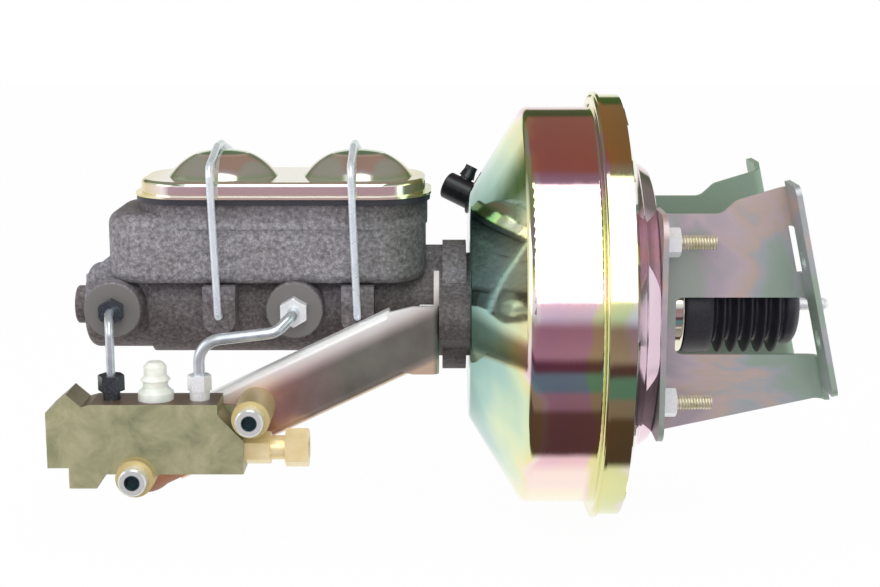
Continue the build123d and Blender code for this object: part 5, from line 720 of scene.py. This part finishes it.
# The dark teal within the socket's radius is painted shade and a painted reflection in the recess.
ring = from_bolts(tree, place, *SOCKET_RIM_MM)
tint = add_node(tree, "ShaderNodeValToRGB", {"Fac": ring}, stops=((0.2, "#2c474c"), (0.8, "#dde0df")))
shader.inputs["Metallic"].default_value = 0.5
shader.inputs["Roughness"].default_value = 0.24
tree.links.new(tint.outputs["Color"], shader.inputs["Base Color"])
dress(socket_steel, "valve_bolts")

# The valve block is drawn brass bar, sawn and milled, and dulled to a mottled olive. It is browner on
# its upper faces, and golden on the lugs round its two bolts.
LUG_RIM_MM = (9.8, 11.2)
LUG_COLOUR = "#dcc88c"
UPPER_FACE_COLOUR = "#6f5c4a"
DULL_PATCH_MM = 20
olive_brass, tree, shader, place = start_material("brass_bar_dulled")
cloud = add_node(tree, "ShaderNodeTexNoise", {"Vector": place, "Scale": 1 / (DULL_PATCH_MM * MM),
                                              "Detail": 5.0, "Roughness": 0.65, "Distortion": 0.4})
tint = add_node(tree, "ShaderNodeValToRGB", {"Fac": cloud.outputs["Fac"]},
                stops=((0.3, "#8b8d6e"), (0.5, "#aaa985"), (0.7, "#c2be98")))
facing = add_node(tree, "ShaderNodeTexCoord")
upward = add_node(tree, "ShaderNodeSeparateXYZ", {"Vector": facing.outputs["Normal"]})
tops = add_node(tree, "ShaderNodeMapRange", {"Value": upward.outputs["Z"], "From Min": 0.5, "From Max": 0.95})
browned = add_node(tree, "ShaderNodeMix", {"Factor": tops.outputs["Result"], "A": tint.outputs["Color"],
                                           "B": linear(UPPER_FACE_COLOUR)}, data_type="RGBA")
body = from_bolts(tree, place, *LUG_RIM_MM)
shade = add_node(tree, "ShaderNodeMix", {"Factor": body, "A": linear(LUG_COLOUR),
                                         "B": browned.outputs["Result"]}, data_type="RGBA")
rough = add_node(tree, "ShaderNodeMapRange", {"Value": cloud.outputs["Fac"], "To Min": 0.3, "To Max": 0.5})
shader.inputs["Metallic"].default_value = 0.4
tree.links.new(shade.outputs["Result"], shader.inputs["Base Color"])
tree.links.new(rough.outputs["Result"], shader.inputs["Roughness"])
dress(olive_brass, "combination_valve_body")

# The end fitting, the spools inside the valve and the tube seats are turned brass, bright and yellow.
# The fitting is screwed into the end of the block, and the seats are pressed into their ports.
TURNED_PATCH_MM = 8
turned_brass, tree, shader, place = start_material("brass_turned")
cloud = add_node(tree, "ShaderNodeTexNoise", {"Vector": place, "Scale": 1 / (TURNED_PATCH_MM * MM),
                                              "Detail": 2.0})
tint = add_node(tree, "ShaderNodeValToRGB", {"Fac": cloud.outputs["Fac"]},
                stops=((0.3, "#efd9a0"), (0.7, "#fbe9bc")))
shader.inputs["Metallic"].default_value = 0.3
shader.inputs["Roughness"].default_value = 0.28
tree.links.new(tint.outputs["Color"], shader.inputs["Base Color"])
dress(turned_brass, "valve_end_fitting", "metering_valve", "warning_shuttle", "proportioning_piston",
      "tube_seats")

# The warning switch is moulded in natural nylon, which is milky and lets a little light in. It is
# screwed into the top of the valve block.
SWITCH_CLOUD_MM = 6
natural_nylon, tree, shader, place = start_material("natural_nylon")
cloud = add_node(tree, "ShaderNodeTexNoise", {"Vector": place, "Scale": 1 / (SWITCH_CLOUD_MM * MM),
                                              "Detail": 2.0})
tint = add_node(tree, "ShaderNodeValToRGB", {"Fac": cloud.outputs["Fac"]},
                stops=((0.3, "#e2e1d6"), (0.7, "#f0efe8")))
shader.inputs["Roughness"].default_value = 0.35
shader.inputs["Subsurface Weight"].default_value = 0.2
tree.links.new(tint.outputs["Color"], shader.inputs["Base Color"])
dress(natural_nylon, "warning_switch")

# The valve bracket is folded from 3 mm sheet in satin chromate: a mottled face that turns from copper
# at its low end to grey. The pale band along its upper edge is a painted highlight; a tan line runs along its
# lower edge.
ARM_SLOPE = math.radians(25.6)
ARM_LOW_END_MM = (-374.0, 0.0, -79.5)
ARM_HALF_WIDTH_MM = 18.5
COPPER_MM = (-330, -260)
ARM_MOTTLE_MM = 26
channel_zinc, tree, shader, place = start_material("mauve_chromate_zinc_satin")
cloud = add_node(tree, "ShaderNodeTexNoise", {"Vector": place, "Scale": 1 / (ARM_MOTTLE_MM * MM),
                                              "Detail": 4.0})
axial = add_node(tree, "ShaderNodeSeparateXYZ", {"Vector": place})
along = add_node(tree, "ShaderNodeMapRange", {"Value": axial.outputs["X"], "From Min": COPPER_MM[0] * MM,
                                              "From Max": COPPER_MM[1] * MM})
copper = add_node(tree, "ShaderNodeValToRGB", {"Fac": along.outputs["Result"]},
                  stops=((0.0, "#eeb68e"), (0.35, "#d9a79d"), (0.7, "#ab9a94"), (1.0, "#989c91")))
mottle = add_node(tree, "ShaderNodeValToRGB", {"Fac": cloud.outputs["Fac"]},
                  stops=((0.3, "#cfc7c6"), (0.7, "#ffffff")))
shade = add_node(tree, "ShaderNodeMix", {"Factor": 1.0, "A": copper.outputs["Color"],
                                         "B": mottle.outputs["Color"]}, data_type="RGBA",
                 blend_type="MULTIPLY")
from_end = add_node(tree, "ShaderNodeVectorMath", {0: place, 1: [MM * c for c in ARM_LOW_END_MM]},
                    operation="SUBTRACT")
across = add_node(tree, "ShaderNodeVectorMath", {0: from_end.outputs["Vector"],
                                                 1: (-math.sin(ARM_SLOPE), 0.0, math.cos(ARM_SLOPE))},
                  operation="DOT_PRODUCT")
strip = add_node(tree, "ShaderNodeMapRange", {"Value": across.outputs["Value"],
                                              "From Min": -ARM_HALF_WIDTH_MM * MM,
                                              "From Max": ARM_HALF_WIDTH_MM * MM})
# Along the upper edge, a painted highlight is screened in and the metal made less metallic; a tan line runs
# along the lower edge.
edge_highlight_and_line = add_node(tree, "ShaderNodeValToRGB", {"Fac": strip.outputs["Result"]},
                stops=((0.0, "#e8c8a0"), (0.06, "#8c7c70"), (0.14, "#000000"), (0.62, "#000000"),
                       (0.76, "#a89c9c"), (0.97, "#ffffff")))
with_edge_highlight = add_node(tree, "ShaderNodeMix", {"Factor": 1.0, "A": shade.outputs["Result"],
                                         "B": edge_highlight_and_line.outputs["Color"]}, data_type="RGBA", blend_type="SCREEN")
metal = add_node(tree, "ShaderNodeMapRange", {"Value": strip.outputs["Result"], "From Min": 0.66,
                                              "From Max": 0.8, "To Min": 0.7, "To Max": 0.35})
shader.inputs["Roughness"].default_value = 0.28
tree.links.new(metal.outputs["Result"], shader.inputs["Metallic"])
tree.links.new(with_edge_highlight.outputs["Result"], shader.inputs["Base Color"])
dress(channel_zinc, "valve_bracket")

# Inside, the plates, rods, springs and pistons are plain machined metal, a neutral grey with a faint
# mottle. None of them shows when the unit is whole, so they share one finish.
STEEL_MOTTLE_MM = 1.5
plain_steel, tree, shader, place = start_material("machined_steel")
grain = add_node(tree, "ShaderNodeTexNoise", {"Vector": place, "Scale": 1 / (STEEL_MOTTLE_MM * MM),
                                              "Detail": 2.0})
tint = add_node(tree, "ShaderNodeValToRGB", {"Fac": grain.outputs["Fac"]},
                stops=((0.3, "#8e9093"), (0.7, "#b4b6b8")))
shader.inputs["Metallic"].default_value = 1.0
shader.inputs["Roughness"].default_value = 0.35
tree.links.new(tint.outputs["Color"], shader.inputs["Base Color"])
dress(plain_steel, "diaphragm_plate", "output_rod", "return_spring", "air_valve_plunger",
      "poppet_retainer", "poppet_spring", "rod_return_spring", "seal_retainer", "check_valve_spring",
      "primary_piston", "primary_spring", "secondary_piston", "secondary_spring", "snap_ring",
      "proportioning_spring")
